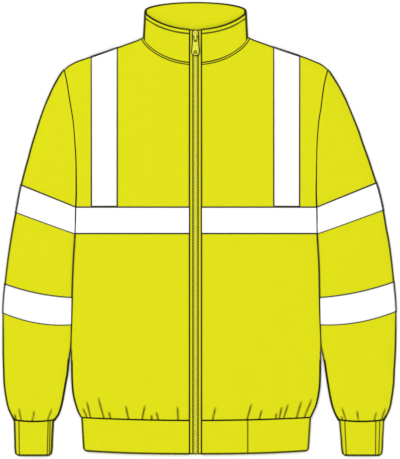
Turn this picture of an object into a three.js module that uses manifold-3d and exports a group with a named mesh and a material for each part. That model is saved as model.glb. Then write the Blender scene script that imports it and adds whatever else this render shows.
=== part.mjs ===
// Hi-vis work jacket laid flat on its back, front up, as separate closed solids.
// Millimetres, +X to the wearer's left, +Y towards the collar, +Z out of the front.
import * as THREE from 'three';
import Module from 'manifold-3d';
import { mergeVertices } from 'three/addons/utils/BufferGeometryUtils.js';

const wasm = await Module();
wasm.setup();

// Heights of the layers above the surface that the jacket lies on
const TAPE_THICK = 0.5;
const SEAM_GAP = 0.3;
const CLOTH_UNDER = TAPE_THICK + SEAM_GAP;
const CLOTH_THICK = 2.2;
const BACK_TOP = 2.8;
const LAYER_GAP = 0.3;
const CROWN_TOP = 8.9;
const CROWN_INSIDE = CROWN_TOP - CLOTH_THICK;
const FOLD_TIP = 2.9;
const FOLD_INSIDE = 3.15;
const SLEEVE_BACK_TOP = 3.0;
const SEAM_EDGE_TOP = 5.1;
const SEAM_EDGE_UNDER = BACK_TOP + LAYER_GAP;
const FOLD_REACH = 30;
const FOLD_INSET = 2;

// Body
const ZIP_OPENING = 11.4;
const HEM_SEAM_Y = 64.4;
const HEM_SEAM_RISE = 5.6;
const HEM_HALF_WIDTH = 216;
const TAPE_WIDTH = 50.5;
const CHEST_TAPE_Y = 418.5;
const CHEST_TAPE_TOP = CHEST_TAPE_Y + TAPE_WIDTH;
const BRACE_INNER_X = 148.2;
const BRACE_OUTER_X = 197.6;
const ARMPIT_Y = 418;
const SIDE_CLEARANCE = 0.5;
const SLEEVE_CLEARANCE = 0.9;
const HALF_SEAM = SEAM_GAP / 2;

// Neck and collar
const NECK_HALF = 97;
const NECK_SIDE_Y = 787.5;
const NECK_DROP = 43.8;
const COLLAR_HALF = 96;
const COLLAR_SIDE_TOP = 839.5;
const COLLAR_FRONT_DIP = 33;
const COLLAR_BACK_RISE = 17;
const COLLAR_ROWS = 5;

// Gathers above the waistband and the cuffs
const GATHER_DEPTH = 1.0;
const GATHER_FADE_Y = 250;
const WRIST_FADE = 110;

// Zip
const CHAIN_HALF = 4.2;
const CHAIN_UNDER = 5.0;
const CHAIN_TOP = 8.2;
const ZIP_TOP_Y = 806;
const ZIP_CLOTH_REACH = 17.4;
const ZIP_CLOTH_UNDER = 5.3;
const ZIP_CLOTH_THICK = 1.0;
const SLIDER_BOTTOM_Y = 783.5;
const SLIDER_HALF = 6.2;
const SLIDER_PLATE_TOP = 9.5;
const TAB_UNDER = 10.2;
const TAB_THICK = 1.6;
const TAB_TOP_Y = 793;
const TAB_END_Y = 757;
const TAB_HOLE_Y = 763.4;
const TAB_HOLE_RADIUS = 2.5;

// Waistband and cuffs
const BAND_THICK = 2.6;
const BAND_SEAM_X = 99;
const BAND_CORNER = 8;
const CUFF_THICK = 2.8;
const CUFF_TOP_Y = 62.2;
const SLEEVE_END_Y = 62.5;

// Colours of the cloth, the tape and the zip's metal
const YELLOW = 0xe1e11b;
const SILVER = 0xf4f4f2;
const PAINTED = 0xd9d91f;

// A table of rows under named columns, as a list of records
function table(columns, rows) {
  const names = columns.split(' ');
  return rows.map((row) => Object.fromEntries(names.map((name, k) => [name, row[k]])));
}

// Side line of the body at each height: distance from the zip, wearer's right and left
const BODY_SIDE = table('y right left', [
  [731, 249, 251],
  [703, 243, 244],
  [680, 239.4, 240.4],
  [657, 235.6, 237.5],
  [634, 231.8, 233.7],
  [589, 228, 230],
  [543, 226, 229],
  [498, 226, 228.8],
  [470, 227, 230],
  [418, 228.6, 231],
  [361, 232, 234.2],
  [315, 233.7, 235.2],
  [270, 234.7, 236],
  [201, 236.6, 238.3],
  [178, 235.6, 237.5],
  [133, 234.5, 236.6],
  [110, 232, 233.7],
  [91, 227, 229],
  [80, 223, 224],
  [68, 216.6, 218.5],
]);

// Outer edge of the sleeves
const SLEEVE_OUTER = table('y right left', [
  [731, 249, 251],
  [722, 257.5, 259],
  [709.5, 265, 267],
  [694, 272.7, 275.6],
  [678, 280, 284],
  [658, 288, 292.5],
  [637.5, 295.5, 301],
  [614, 303, 310.5],
  [590, 310.7, 318.5],
  [563, 318, 328.3],
  [534, 326, 337.8],
  [503, 333.5, 348],
  [463, 341, 357.3],
  [429, 347.7, 363],
  [406, 351.5, 367.5],
  [361, 358, 373.5],
  [315, 363, 378],
  [292, 365, 380],
  [258, 366, 381],
  [201, 366, 380.5],
  [156, 365, 378],
  [133, 364, 377],
  [110, 361, 374],
  [87, 356, 369.5],
  [74, 350.6, 364],
  [62.5, 345, 358],
]);

// Inner edge of the sleeves below the armpit
const SLEEVE_INNER = table('y right left', [
  [418, 228.6, 231],
  [361, 232, 234.2],
  [315, 233.7, 235.2],
  [270, 234.7, 236],
  [201, 236.6, 238.3],
  [178, 241, 245],
  [156, 243, 248],
  [133, 247, 251.6],
  [110, 251, 255.6],
  [91, 255, 260],
  [74, 261, 266.5],
  [62.5, 268.7, 272.8],
]);

// Rows across a sleeve, from the shoulder to the cuff: height at the armhole or inner
// edge, height at the outer edge of each sleeve, and how far the row sags between them
const SLEEVE_ROWS = table('inner right left sag', [
  [728.5, 718, 718, 0],
  [717, 706, 707, 0],
  [700, 690, 691, 0],
  [678, 670, 671, 0],
  [650, 645, 647, 0],
  [615, 617, 619, 0],
  [575, 586, 589, 0],
  [530, 554, 557, 0],
  [497, 531, 535, 0],
  [469, 512, 516, 0],
  [443.7, 486, 490, 0],
  [418, 459.5, 464, 0],
  [385, 424, 428, 1],
  [342, 374, 377, 3],
  [297, 323, 327, 5],
  [271, 296, 299, 6.5],
  [246, 269, 272, 8],
  [208, 225, 227, 3],
  [165, 174, 175, 1],
  [130, 134, 134, 0],
  [104, 105, 105, 0],
  [84, 84, 84, 0],
  [72, 72, 72, 0],
  [62.8, 62.8, 62.8, 0],
]);
const UPPER_TAPE_ROWS = [9, 11];
const LOWER_TAPE_ROWS = [14, 16];
const ARMPIT_ROW = 11;

// Seam under the front of the shoulder, from the neck to the shoulder point
const SHOULDER = table('x right left', [
  [97, 787.5, 788.5],
  [123, 780.4, 781.7],
  [153, 770, 771],
  [183, 759.5, 761],
  [210, 750.3, 752],
  [225, 745.3, 746],
  [240, 737.7, 739.5],
  [249, 730.7, 732.8],
]);

// Where the gathers meet the waistband seam and how high each one reaches
const WAIST_GATHERS = {
  right: table('x top height', [
    [32.7, 34, 24],
    [70.3, 74, 14],
    [83, 83, 9],
    [101.3, 96.3, 25],
    [126.7, 132, 24],
    [161, 163.8, 12],
    [173.5, 183.5, 36],
    [198.7, 205.4, 28],
    [207.4, 214.8, 16],
  ]),
  left: table('x top height', [
    [32.3, 37.6, 23],
    [97.7, 105.5, 28],
    [120.8, 125.4, 17],
    [146, 146.5, 10],
    [158.8, 163, 21],
    [169, 177, 25],
    [191.5, 200, 29],
    [208.5, 221.5, 30],
  ]),
};

// The same above the cuffs, on the front of each sleeve
const WRIST_GATHERS = {
  right: table('x top height', [
    [281, 273, 22],
    [309.5, 305.7, 19],
    [330, 334.6, 23],
    [339, 343, 13],
  ]),
  left: table('x top height', [
    [282, 277, 24],
    [310, 306, 19],
    [338.6, 342.4, 16],
    [351.5, 359.7, 23],
  ]),
};

// Edges of the cuffs at each height, with the round corners at the hem
const CUFF_ROWS = {
  right: table('y inner outer', [
    [62.2, 268.7, 345],
    [30, 270.5, 344],
    [5, 272, 343],
    [-0.5, 273.6, 341.4],
    [-3, 278, 337],
  ]),
  left: table('y inner outer', [
    [62.2, 272.8, 358],
    [30, 275.5, 356.3],
    [5, 277.6, 355],
    [-0.5, 279.2, 353.4],
    [-3, 283.5, 349],
  ]),
};

const SIDES = { right: -1, left: 1 };
const FRONT_HEIGHTS = [0, 0.022, 0.05, 0.085, 0.13, 0.2, 0.3, 0.42, 0.55, 0.68, 0.8, 0.91, 1];
const SIDE_SHARES = [0.42, 0.72, 0.93, 1];
const BRACE_COLUMNS = 4;
const SHOULDER_COLUMNS = 3;
const SLEEVE_UNDER_SHARES = [0.75, 0.5, 0.25];

const mix = (from, to, share) => from + (to - from) * share;
const clamp = (value) => Math.min(1, Math.max(0, value));
const ease = (value) => clamp(value) ** 2 * (3 - 2 * clamp(value));
// A quarter round: 0 at a folded edge, 1 once the cloth lies level
const bulge = (share) => Math.sqrt(1 - (1 - clamp(share)) ** 2);

// One column of a table, read at a value of another on straight lines between its rows
function read(rows, key, column, at) {
  const ordered = [...rows].sort((a, b) => a[key] - b[key]);
  const last = ordered.length - 1;
  const above = ordered.findIndex((row) => row[key] >= at);
  if (above <= 0) return ordered[above === 0 ? 0 : last][column];
  const low = ordered[above - 1];
  const high = ordered[above];
  return mix(low[column], high[column], (at - low[key]) / (high[key] - low[key]));
}

// A closed wall between an outer and an inner sheet of points, given as rows. Where
// isRing holds for a strip, its last column joins its first, so the strip is a tube.
function wall(outer, inner, isRing = () => false) {
  const columns = outer[0].length;
  const last = columns - 1;
  const bottom = outer.length - 1;
  const out = (row, column) => row * columns + column;
  const inn = (row, column) => (outer.length + row) * columns + column;
  const faces = [];
  const quad = (a, b, c, d) => faces.push(a, b, c, a, c, d);
  for (let row = 0; row < bottom; row += 1) {
    for (let k = 0; k < last; k += 1) {
      quad(out(row, k), out(row, k + 1), out(row + 1, k + 1), out(row + 1, k));
      quad(inn(row, k), inn(row + 1, k), inn(row + 1, k + 1), inn(row, k + 1));
    }
    if (isRing(row)) {
      quad(out(row, last), out(row, 0), out(row + 1, 0), out(row + 1, last));
      quad(inn(row, last), inn(row + 1, last), inn(row + 1, 0), inn(row, 0));
    } else {
      quad(out(row, 0), out(row + 1, 0), inn(row + 1, 0), inn(row, 0));
      quad(out(row, last), inn(row, last), inn(row + 1, last), out(row + 1, last));
    }
  }
  for (let k = 0; k < last; k += 1) {
    quad(inn(0, k), inn(0, k + 1), out(0, k + 1), out(0, k));
    quad(out(bottom, k), out(bottom, k + 1), inn(bottom, k + 1), inn(bottom, k));
  }
  for (let row = 0; row <= bottom; row += 1) {
    const before = row > 0 && isRing(row - 1);
    const after = row < bottom && isRing(row);
    if (after && !before) quad(inn(row, last), inn(row, 0), out(row, 0), out(row, last));
    if (before && !after) quad(out(row, last), out(row, 0), inn(row, 0), inn(row, last));
  }
  return facing([...outer.flat(), ...inner.flat()], faces);
}

// A geometry from points and triangles, with its faces turned outwards
function facing(points, faces) {
  const corner = (k) => points[faces[k]];
  let volume = 0;
  for (let k = 0; k < faces.length; k += 3) {
    volume += corner(k).dot(corner(k + 1).clone().cross(corner(k + 2)));
  }
  const geometry = new THREE.BufferGeometry().setFromPoints(points);
  geometry.setIndex(volume < 0 ? [...faces].reverse() : faces);
  geometry.computeVertexNormals();
  return geometry;
}

function toSolid(geometry) {
  const plain = geometry.clone();
  plain.deleteAttribute('normal');
  plain.deleteAttribute('uv');
  const merged = mergeVertices(plain, 1e-4);
  return new wasm.Manifold(new wasm.Mesh({
    numProp: 3,
    vertProperties: new Float32Array(merged.attributes.position.array),
    triVerts: new Uint32Array(merged.index.array),
  }));
}

function toGeometry(solid) {
  const mesh = solid.getMesh();
  const geometry = new THREE.BufferGeometry();
  geometry.setAttribute('position', new THREE.BufferAttribute(new Float32Array(mesh.vertProperties), 3));
  geometry.setIndex(new THREE.BufferAttribute(new Uint32Array(mesh.triVerts), 1));
  geometry.computeVertexNormals();
  return geometry;
}

// A flat plate: an outline in the XY plane, thickened upwards from one height
function plate(outline, under, thick, holes = []) {
  const shape = new THREE.Shape(outline.map(([x, y]) => new THREE.Vector2(x, y)));
  shape.holes = holes;
  const geometry = new THREE.ExtrudeGeometry(shape, { depth: thick, bevelEnabled: false, curveSegments: 8 });
  return geometry.translate(0, 0, under);
}

function box(x0, x1, y0, y1, z0, z1) {
  const geometry = new THREE.BoxGeometry(x1 - x0, y1 - y0, z1 - z0);
  return geometry.translate((x0 + x1) / 2, (y0 + y1) / 2, (z0 + z1) / 2);
}

// Lines of the pattern, as heights over the distance from the zip
const hemSeam = (x) => HEM_SEAM_Y + HEM_SEAM_RISE * (x / HEM_HALF_WIDTH) ** 2;
const neckline = (x) => NECK_SIDE_Y - NECK_DROP * (1 - Math.min(1, x / NECK_HALF) ** 2) ** 0.7;
const shoulder = (name, x) => read(SHOULDER, 'x', name, x);
const bandHem = (x) => 5.5 * (x / 204) ** 2.5;
const bandSide = (name, y) => (name === 'right' ? 212 : 214) + 4 * clamp(y / 66);
const bandCorner = (y) => BAND_CORNER - Math.sqrt(BAND_CORNER ** 2 - Math.max(0, BAND_CORNER - y) ** 2);

// Rows of the armhole seam, from the armpit up, shared by the body and the sleeves
const ARMHOLE_YS = SLEEVE_ROWS.slice(0, ARMPIT_ROW + 1).map((row) => row.inner).reverse();
const ARMHOLE_TOP_Y = ARMHOLE_YS.at(-1);

function bodySide(name, y) {
  const clearance = y > CHEST_TAPE_Y + 1 ? HALF_SEAM : SIDE_CLEARANCE;
  return read(BODY_SIDE, 'y', name, y) - clearance;
}

// How far the cloth has come up to its full height near the armhole seam
const seamLift = (y) => ease((y - ARMPIT_Y) / 60);

// Gathers and the soft ridges between them, from one edge of a panel to the other
function gatherColumns(gathers, first, last) {
  const stops = [{ x: first, top: first, height: 20 }, ...gathers, { x: last, top: last, height: 20 }];
  const columns = [];
  stops.forEach((stop, k) => {
    const isEdge = k === 0 || k === stops.length - 1;
    columns.push({ ...stop, depth: isEdge ? 0 : -GATHER_DEPTH });
    if (k === stops.length - 1) return;
    const next = stops[k + 1];
    columns.push({
      x: mix(stop.x, next.x, 0.5),
      top: mix(stop.top, next.top, 0.5),
      height: mix(stop.height, next.height, 0.5) + 12,
      depth: GATHER_DEPTH * clamp((next.x - stop.x) / 14),
    });
  });
  return columns;
}

// Where a column stands at a height above the seam: a ridge stays between its gathers
function gatherLean(columns, k, above) {
  const lean = (column) => mix(column.x, column.top, clamp(above / column.height));
  return k % 2 === 0 ? lean(columns[k]) : mix(lean(columns[k - 1]), lean(columns[k + 1]), 0.5);
}

const gatherRise = (column, above) => column.depth * clamp(1 - above / (column.height * 1.3));

// The columns of a front: neckline, shoulder, brace and armhole stretches from the zip out
function chestColumns(name, count) {
  const neckColumns = count - SHOULDER_COLUMNS - BRACE_COLUMNS - SIDE_SHARES.length;
  const columns = [];
  for (let k = 0; k <= neckColumns; k += 1) {
    columns.push(mix(ZIP_OPENING, NECK_HALF, Math.sin((Math.PI / 2) * (k / neckColumns))));
  }
  for (let k = 1; k <= SHOULDER_COLUMNS; k += 1) {
    columns.push(mix(NECK_HALF, BRACE_INNER_X, k / SHOULDER_COLUMNS));
  }
  for (let k = 1; k <= BRACE_COLUMNS; k += 1) {
    columns.push(mix(BRACE_INNER_X, BRACE_OUTER_X, k / BRACE_COLUMNS));
  }
  return { fixed: columns, neckColumns };
}

function liftOfFront(name, x, y, top) {
  const side = Math.max(bulge((bodySide(name, y) - x) / FOLD_REACH), seamLift(y));
  const topFold = mix(1, bulge((top - y) / FOLD_REACH), ease((x - 70) / 30));
  return Math.min(side, topFold);
}

// The points of one front: rows from the waistband seam up to the neck and shoulder
function frontGrid(name) {
  const sign = SIDES[name];
  const waist = gatherColumns(WAIST_GATHERS[name], ZIP_OPENING, bodySide(name, HEM_SEAM_Y + HEM_SEAM_RISE));
  const count = waist.length - 1;
  const { fixed, neckColumns } = chestColumns(name, count);
  const chestX = (k, sideY) => (k < fixed.length
    ? fixed[k] : mix(BRACE_OUTER_X, bodySide(name, sideY), SIDE_SHARES[k - fixed.length]));
  const topOf = (k) => (k <= neckColumns
    ? neckline(chestX(k, ARMHOLE_TOP_Y)) - HALF_SEAM : shoulder(name, chestX(k, ARMHOLE_TOP_Y)));
  const rows = [];
  const addRow = (place) => {
    const row = { top: [], under: [] };
    for (let k = 0; k <= count; k += 1) {
      const { x, y, rise } = place(k);
      const lift = liftOfFront(name, x, y, topOf(k));
      const height = rise * lift;
      row.top.push(new THREE.Vector3(sign * x, y, mix(SEAM_EDGE_TOP, CROWN_TOP, lift) + height));
      row.under.push(new THREE.Vector3(sign * x, y, mix(SEAM_EDGE_UNDER, CROWN_INSIDE, lift) + height));
    }
    rows.push(row);
  };
  FRONT_HEIGHTS.forEach((share) => addRow((k) => {
    const seamY = hemSeam(waist[k].x) + HALF_SEAM;
    const y = mix(seamY, CHEST_TAPE_Y, share);
    const above = y - seamY;
    const fade = ease(above / (GATHER_FADE_Y - HEM_SEAM_Y));
    const edge = k === count ? bodySide(name, y) : gatherLean(waist, k, above);
    return { x: mix(edge, chestX(k, y), fade), y, rise: gatherRise(waist[k], above) };
  }));
  ARMHOLE_YS.filter((y) => y > CHEST_TAPE_Y + 1).forEach((sideY) => addRow((k) => {
    const share = clamp((sideY - CHEST_TAPE_TOP) / (ARMHOLE_TOP_Y - CHEST_TAPE_TOP));
    const y = share > 0 ? mix(CHEST_TAPE_TOP, k === count ? ARMHOLE_TOP_Y : topOf(k), share) : sideY;
    return { x: chestX(k, sideY), y, rise: 0 };
  }));
  const braceStart = neckColumns + SHOULDER_COLUMNS;
  return { rows, neckColumns, neckXs: fixed.slice(0, neckColumns + 1), braceStart };
}

function frontWall(grid) {
  return wall(grid.rows.map((row) => row.top), grid.rows.map((row) => row.under));
}

// Tape sewn on a front: a patch of the front's own points, moved out
function frontTape(grid, firstRow, lastRow, firstColumn, lastColumn, startGap = 0) {
  const patch = grid.rows.slice(firstRow, lastRow + 1).map((row) => row.top.slice(firstColumn, lastColumn + 1));
  const share = startGap / (patch[1][0].y - patch[0][0].y);
  patch[0] = patch[0].map((point, k) => point.clone().lerp(patch[1][k], share));
  const moved = (distance) => patch.map((row) => row.map((point) => (
    new THREE.Vector3(point.x, point.y, point.z + distance))));
  return wall(moved(SEAM_GAP + TAPE_THICK), moved(SEAM_GAP));
}

// One row round a sleeve: along the front from the armhole or inner edge to the outer
// edge, then back along the underside. outer and inner are the wall's two faces.
function sleeveRow(name, index) {
  const sign = SIDES[name];
  const spec = SLEEVE_ROWS[index];
  const isRing = index >= ARMPIT_ROW;
  const edgeX = (y) => (y >= ARMPIT_Y ? read(BODY_SIDE, 'y', name, y) : read(SLEEVE_INNER, 'y', name, y));
  const start = new THREE.Vector2(edgeX(spec.inner) + (isRing ? SLEEVE_CLEARANCE : HALF_SEAM), spec.inner);
  const end = new THREE.Vector2(read(SLEEVE_OUTER, 'y', name, spec[name]), spec[name]);
  const width = start.distanceTo(end);
  const along = end.clone().sub(start).divideScalar(width);
  const wrist = gatherColumns(
    WRIST_GATHERS[name],
    read(SLEEVE_INNER, 'y', name, SLEEVE_END_Y),
    read(SLEEVE_OUTER, 'y', name, SLEEVE_END_Y),
  );
  const count = wrist.length - 1;
  const above = spec.inner - SLEEVE_END_Y;
  const lift = bulge((ARMHOLE_TOP_Y - spec.inner) / FOLD_REACH);
  const roof = mix(SEAM_EDGE_TOP, CROWN_TOP, lift);
  const ceiling = mix(SLEEVE_BACK_TOP + LAYER_GAP, CROWN_INSIDE, lift);
  const startLift = isRing ? 0 : seamLift(spec.inner);
  const startTip = isRing ? FOLD_TIP : SEAM_EDGE_TOP;
  const startInside = isRing ? FOLD_INSIDE : SLEEVE_BACK_TOP + LAYER_GAP;
  const place = (distance, z) => {
    const share = distance / width;
    const sag = spec.sag * 4 * share * (1 - share);
    return new THREE.Vector3(
      sign * (start.x + along.x * distance),
      start.y + along.y * distance - sag,
      z,
    );
  };
  const inward = (distance) => (isRing
    ? CLOTH_THICK + distance * (width - 2 * CLOTH_THICK) / width
    : distance * (width - CLOTH_THICK) / width);
  const outer = [];
  const inner = [];
  for (let k = 0; k <= count; k += 1) {
    const even = 0.5 - 0.5 * Math.cos(Math.PI * (k / count));
    const gathered = clamp((gatherLean(wrist, k, above) - start.x) / (end.x - start.x));
    const isEdge = k === 0 || k === count;
    const share = isEdge ? even : mix(gathered, even, ease(above / WRIST_FADE));
    const distance = share * width;
    const fromStart = Math.max(bulge(distance / FOLD_REACH), startLift);
    const fromEnd = bulge((width - distance) / FOLD_REACH);
    const rise = gatherRise(wrist[k], above) * Math.min(fromStart, fromEnd);
    const top = Math.min(mix(startTip, roof, fromStart), mix(FOLD_TIP, roof, fromEnd));
    const inside = Math.min(mix(startInside, ceiling, fromStart), mix(FOLD_INSIDE, ceiling, fromEnd));
    outer.push(place(distance, top + rise));
    inner.push(place(inward(distance), inside + rise));
  }
  const backEnd = isRing ? FOLD_INSET : 0;
  const backStops = [width - FOLD_INSET, ...SLEEVE_UNDER_SHARES.map((share) => share * width), backEnd];
  backStops.forEach((distance) => {
    outer.push(place(distance, CLOTH_UNDER));
    inner.push(place(inward(distance), SLEEVE_BACK_TOP));
  });
  return { outer, inner, isRing, along: new THREE.Vector2(sign * along.x, along.y) };
}

// A row's points moved outwards, square to the row's own outline
function moveOut(row, distance, wraps) {
  const last = row.outer.length - 1;
  return row.outer.map((point, k) => {
    const before = row.outer[k > 0 ? k - 1 : (wraps ? last : 0)];
    const after = row.outer[k < last ? k + 1 : (wraps ? 0 : last)];
    const run = (after.x - before.x) * row.along.x + (after.y - before.y) * row.along.y;
    const rise = after.z - before.z;
    const length = Math.hypot(run, rise);
    return new THREE.Vector3(
      point.x - row.along.x * (rise / length) * distance,
      point.y - row.along.y * (rise / length) * distance,
      Math.max(TAPE_THICK + SEAM_GAP - distance, point.z + (run / length) * distance),
    );
  });
}

function sleeveWall(rows) {
  const isRing = (strip) => rows[strip].isRing && rows[strip + 1].isRing;
  return wall(rows.map((row) => row.outer), rows.map((row) => row.inner), isRing);
}

function sleeveTape(rows, [first, last]) {
  const patch = rows.slice(first, last + 1);
  const isRing = patch.every((row) => row.isRing);
  const moved = (distance) => patch.map((row) => moveOut(row, distance, row.isRing));
  return wall(moved(SEAM_GAP + TAPE_THICK), moved(SEAM_GAP), () => isRing);
}

// A cuff: a band round the wrist that narrows to its hem, its corners rounded
function cuffWall(name) {
  const sign = SIDES[name];
  const stops = [0, 0.03, 0.12, 0.3, 0.5, 0.7, 0.88, 0.97, 1];
  const rows = CUFF_ROWS[name].map(({ y, inner, outer }) => {
    const width = outer - inner;
    const place = (distance, z) => new THREE.Vector3(sign * (inner + distance), y, z);
    const inward = (distance) => CUFF_THICK + distance * (width - 2 * CUFF_THICK) / width;
    const row = { outer: [], inner: [] };
    stops.forEach((share) => {
      const distance = share * width;
      const lift = bulge(Math.min(distance, width - distance) / FOLD_REACH);
      row.outer.push(place(distance, mix(FOLD_TIP, CROWN_TOP, lift)));
      row.inner.push(place(inward(distance), mix(FOLD_INSIDE, CROWN_TOP - CUFF_THICK, lift)));
    });
    [width - FOLD_INSET, width * 0.7, width * 0.3, FOLD_INSET].forEach((distance) => {
      row.outer.push(place(distance, 0));
      row.inner.push(place(inward(distance), CUFF_THICK));
    });
    return row;
  });
  return wall(rows.map((row) => row.outer), rows.map((row) => row.inner), () => true);
}

// The stand collar: one band from the zip round the right side, the back of the neck and
// the left side to the zip again, folded where it turns at the sides
function collarWall(neckXs) {
  const scale = COLLAR_HALF / NECK_HALF;
  const frontStops = (name) => neckXs[name].map((x) => ({ x: SIDES[name] * x * scale, isFront: true }));
  const backXs = [0.98, 0.86, 0.6, 0.3, 0].map((share) => share * COLLAR_HALF);
  const stops = [
    ...frontStops('right'),
    ...backXs.map((x) => ({ x: -x, isFront: false })),
    ...backXs.slice(0, -1).reverse().map((x) => ({ x, isFront: false })),
    ...frontStops('left').reverse(),
  ];
  const outer = [];
  const inner = [];
  for (let row = 0; row < COLLAR_ROWS; row += 1) {
    const share = row / (COLLAR_ROWS - 1);
    const outerRow = [];
    const innerRow = [];
    stops.forEach(({ x, isFront }) => {
      const level = Math.min(1, Math.abs(x) / COLLAR_HALF);
      const round = 1 - level ** 2;
      const low = isFront ? neckline(Math.abs(x) / scale) + HALF_SEAM : NECK_SIDE_Y + 2 * HALF_SEAM;
      const high = isFront
        ? COLLAR_SIDE_TOP - COLLAR_FRONT_DIP * round ** 0.75
        : COLLAR_SIDE_TOP + COLLAR_BACK_RISE * round ** 0.45;
      const lift = isFront ? bulge((COLLAR_HALF - Math.abs(x)) / (FOLD_REACH - 8)) : 0;
      const top = isFront ? mix(FOLD_TIP, CROWN_TOP, lift) : CLOTH_UNDER;
      const under = isFront ? mix(FOLD_INSIDE, CROWN_INSIDE, lift) : SLEEVE_BACK_TOP;
      const zipEdge = isFront ? ZIP_OPENING * scale : 0;
      const inset = CLOTH_THICK * clamp((Math.abs(x) - zipEdge) / (COLLAR_HALF - zipEdge));
      const y = mix(low, high, share);
      outerRow.push(new THREE.Vector3(x, y, top));
      innerRow.push(new THREE.Vector3(x - Math.sign(x) * inset, y, under));
    });
    outer.push(outerRow);
    inner.push(innerRow);
  }
  return wall(outer, inner);
}

// One piece of the waistband's front, between two distances from the zip
function bandWall(name, from, to) {
  const sign = SIDES[name];
  const stops = [0, 0.18, 0.36, 0.54, 0.7, 0.83, 0.92, 0.975, 1];
  const heights = [0, 0.02, 0.07, 0.14, 0.5, 1];
  const top = [];
  const under = [];
  heights.forEach((height) => {
    const topRow = [];
    const underRow = [];
    stops.forEach((share) => {
      const level = height * HEM_SEAM_Y;
      const corner = to === null ? bandCorner(level) : 0;
      const end = to === null ? bandSide(name, level) - corner : to;
      const x = mix(from, end, share);
      const y = mix(bandHem(x), hemSeam(x) - HALF_SEAM, height);
      const lift = bulge((bandSide(name, level) - x) / FOLD_REACH);
      topRow.push(new THREE.Vector3(sign * x, y, mix(SEAM_EDGE_TOP, CROWN_INSIDE + BAND_THICK, lift)));
      underRow.push(new THREE.Vector3(sign * x, y, mix(SEAM_EDGE_UNDER, CROWN_INSIDE, lift)));
    });
    top.push(topRow);
    under.push(underRow);
  });
  return wall(top, under);
}

// The back's outline, from the neck down the wearer's left side and up the right
function backOutline() {
  const sideYs = [...ARMHOLE_YS.slice().reverse(), 361, 315, 270, 201, 178, 133, 110, 91, 80];
  const half = (name) => {
    const sign = SIDES[name];
    const across = SHOULDER.slice(1, -1).map((row) => [sign * row.x, row[name]]);
    const down = sideYs.map((y) => [sign * bodySide(name, y), y]);
    const corner = bodySide(name, HEM_SEAM_Y + HEM_SEAM_RISE);
    const hem = [1, 0.66, 0.33].map((share) => [sign * corner * share, hemSeam(corner * share) + HALF_SEAM]);
    return [[sign * NECK_HALF, NECK_SIDE_Y - HALF_SEAM], ...across, ...down, ...hem];
  };
  return [...half('left'), ...half('right').reverse()];
}

function bandBackOutline() {
  const half = (name) => {
    const sign = SIDES[name];
    const corner = [0, 2, 8].map((level) => bandSide(name, level) - bandCorner(level));
    const side = bandSide(name, HEM_SEAM_Y);
    return [
      [0, bandHem(0)], [corner[0] * 0.5, bandHem(corner[0] * 0.5)], [corner[0], bandHem(corner[0])],
      [corner[1], bandHem(corner[1]) + 2], [corner[2], bandHem(corner[2]) + 8],
      [side, hemSeam(side) - HALF_SEAM], [side * 0.66, hemSeam(side * 0.66) - HALF_SEAM],
      [side * 0.33, hemSeam(side * 0.33) - HALF_SEAM],
    ].map(([x, y]) => [sign * x, y]);
  };
  return [...half('left'), [0, HEM_SEAM_Y - HALF_SEAM], ...half('right').slice(1).reverse()];
}

function chestTapeBackOutline() {
  const ys = ARMHOLE_YS.slice(0, 3);
  const edge = (name) => ys.map((y) => [SIDES[name] * bodySide(name, y), y]);
  return [...edge('left'), ...edge('right').reverse()];
}

function braceBackOutline(name) {
  const sign = SIDES[name];
  const top = (x) => shoulder(name, x);
  return [
    [BRACE_INNER_X, CHEST_TAPE_TOP + SEAM_GAP], [BRACE_OUTER_X, CHEST_TAPE_TOP + SEAM_GAP],
    [BRACE_OUTER_X, top(BRACE_OUTER_X)], [183, top(183)], [153, top(153)], [BRACE_INNER_X, top(BRACE_INNER_X)],
  ].map(([x, y]) => [sign * x, y]);
}

// The slider: two plates joined by a wedge, its top plate carrying an arched crown
function sliderSolid() {
  const plateOutline = [
    [-SLIDER_HALF, 787], [-4.6, SLIDER_BOTTOM_Y], [4.6, SLIDER_BOTTOM_Y], [SLIDER_HALF, 787],
    [SLIDER_HALF, 798], [5.4, 803], [2.6, ZIP_TOP_Y], [-2.6, ZIP_TOP_Y], [-5.4, 803], [-SLIDER_HALF, 798],
  ];
  const wedgeOutline = [
    [-2.2, SLIDER_BOTTOM_Y + 1], [2.2, SLIDER_BOTTOM_Y + 1], [3.9, 790], [3.9, 799], [1.8, 805], [-1.8, 805],
    [-3.9, 799], [-3.9, 790],
  ];
  const topPlate = plate(plateOutline, 8.5, SLIDER_PLATE_TOP - 8.5);
  const wedge = plate(wedgeOutline, 4.2, 4.6);
  const bottomPlate = plate(plateOutline, 3.7, 1.0);
  const crownShape = new THREE.Shape([
    [783.9, 9.2], [785.0, 12.4], [787.4, 14.2], [797.0, 14.2], [799.3, 12.4], [800.5, 9.2],
  ].map(([y, z]) => new THREE.Vector2(y, z)));
  crownShape.holes = [new THREE.Path([
    [786.3, SLIDER_PLATE_TOP], [798.3, SLIDER_PLATE_TOP], [797.4, 12.0], [796.4, 12.7], [788.2, 12.7], [787.1, 12.0],
  ].map(([y, z]) => new THREE.Vector2(y, z)))];
  const crown = new THREE.ExtrudeGeometry(crownShape, { depth: 4, bevelEnabled: false });
  crown.translate(0, 0, -2);
  // The shape's axes are the part's Y and Z, so its depth turns to lie along X
  crown.applyMatrix4(new THREE.Matrix4().set(0, 0, 1, 0, 1, 0, 0, 0, 0, 1, 0, 0, 0, 0, 0, 1));
  const solids = [wedge, bottomPlate, crown].map(toSolid);
  return toGeometry(solids.reduce((joined, solid) => joined.add(solid), toSolid(topPlate)));
}

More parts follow.
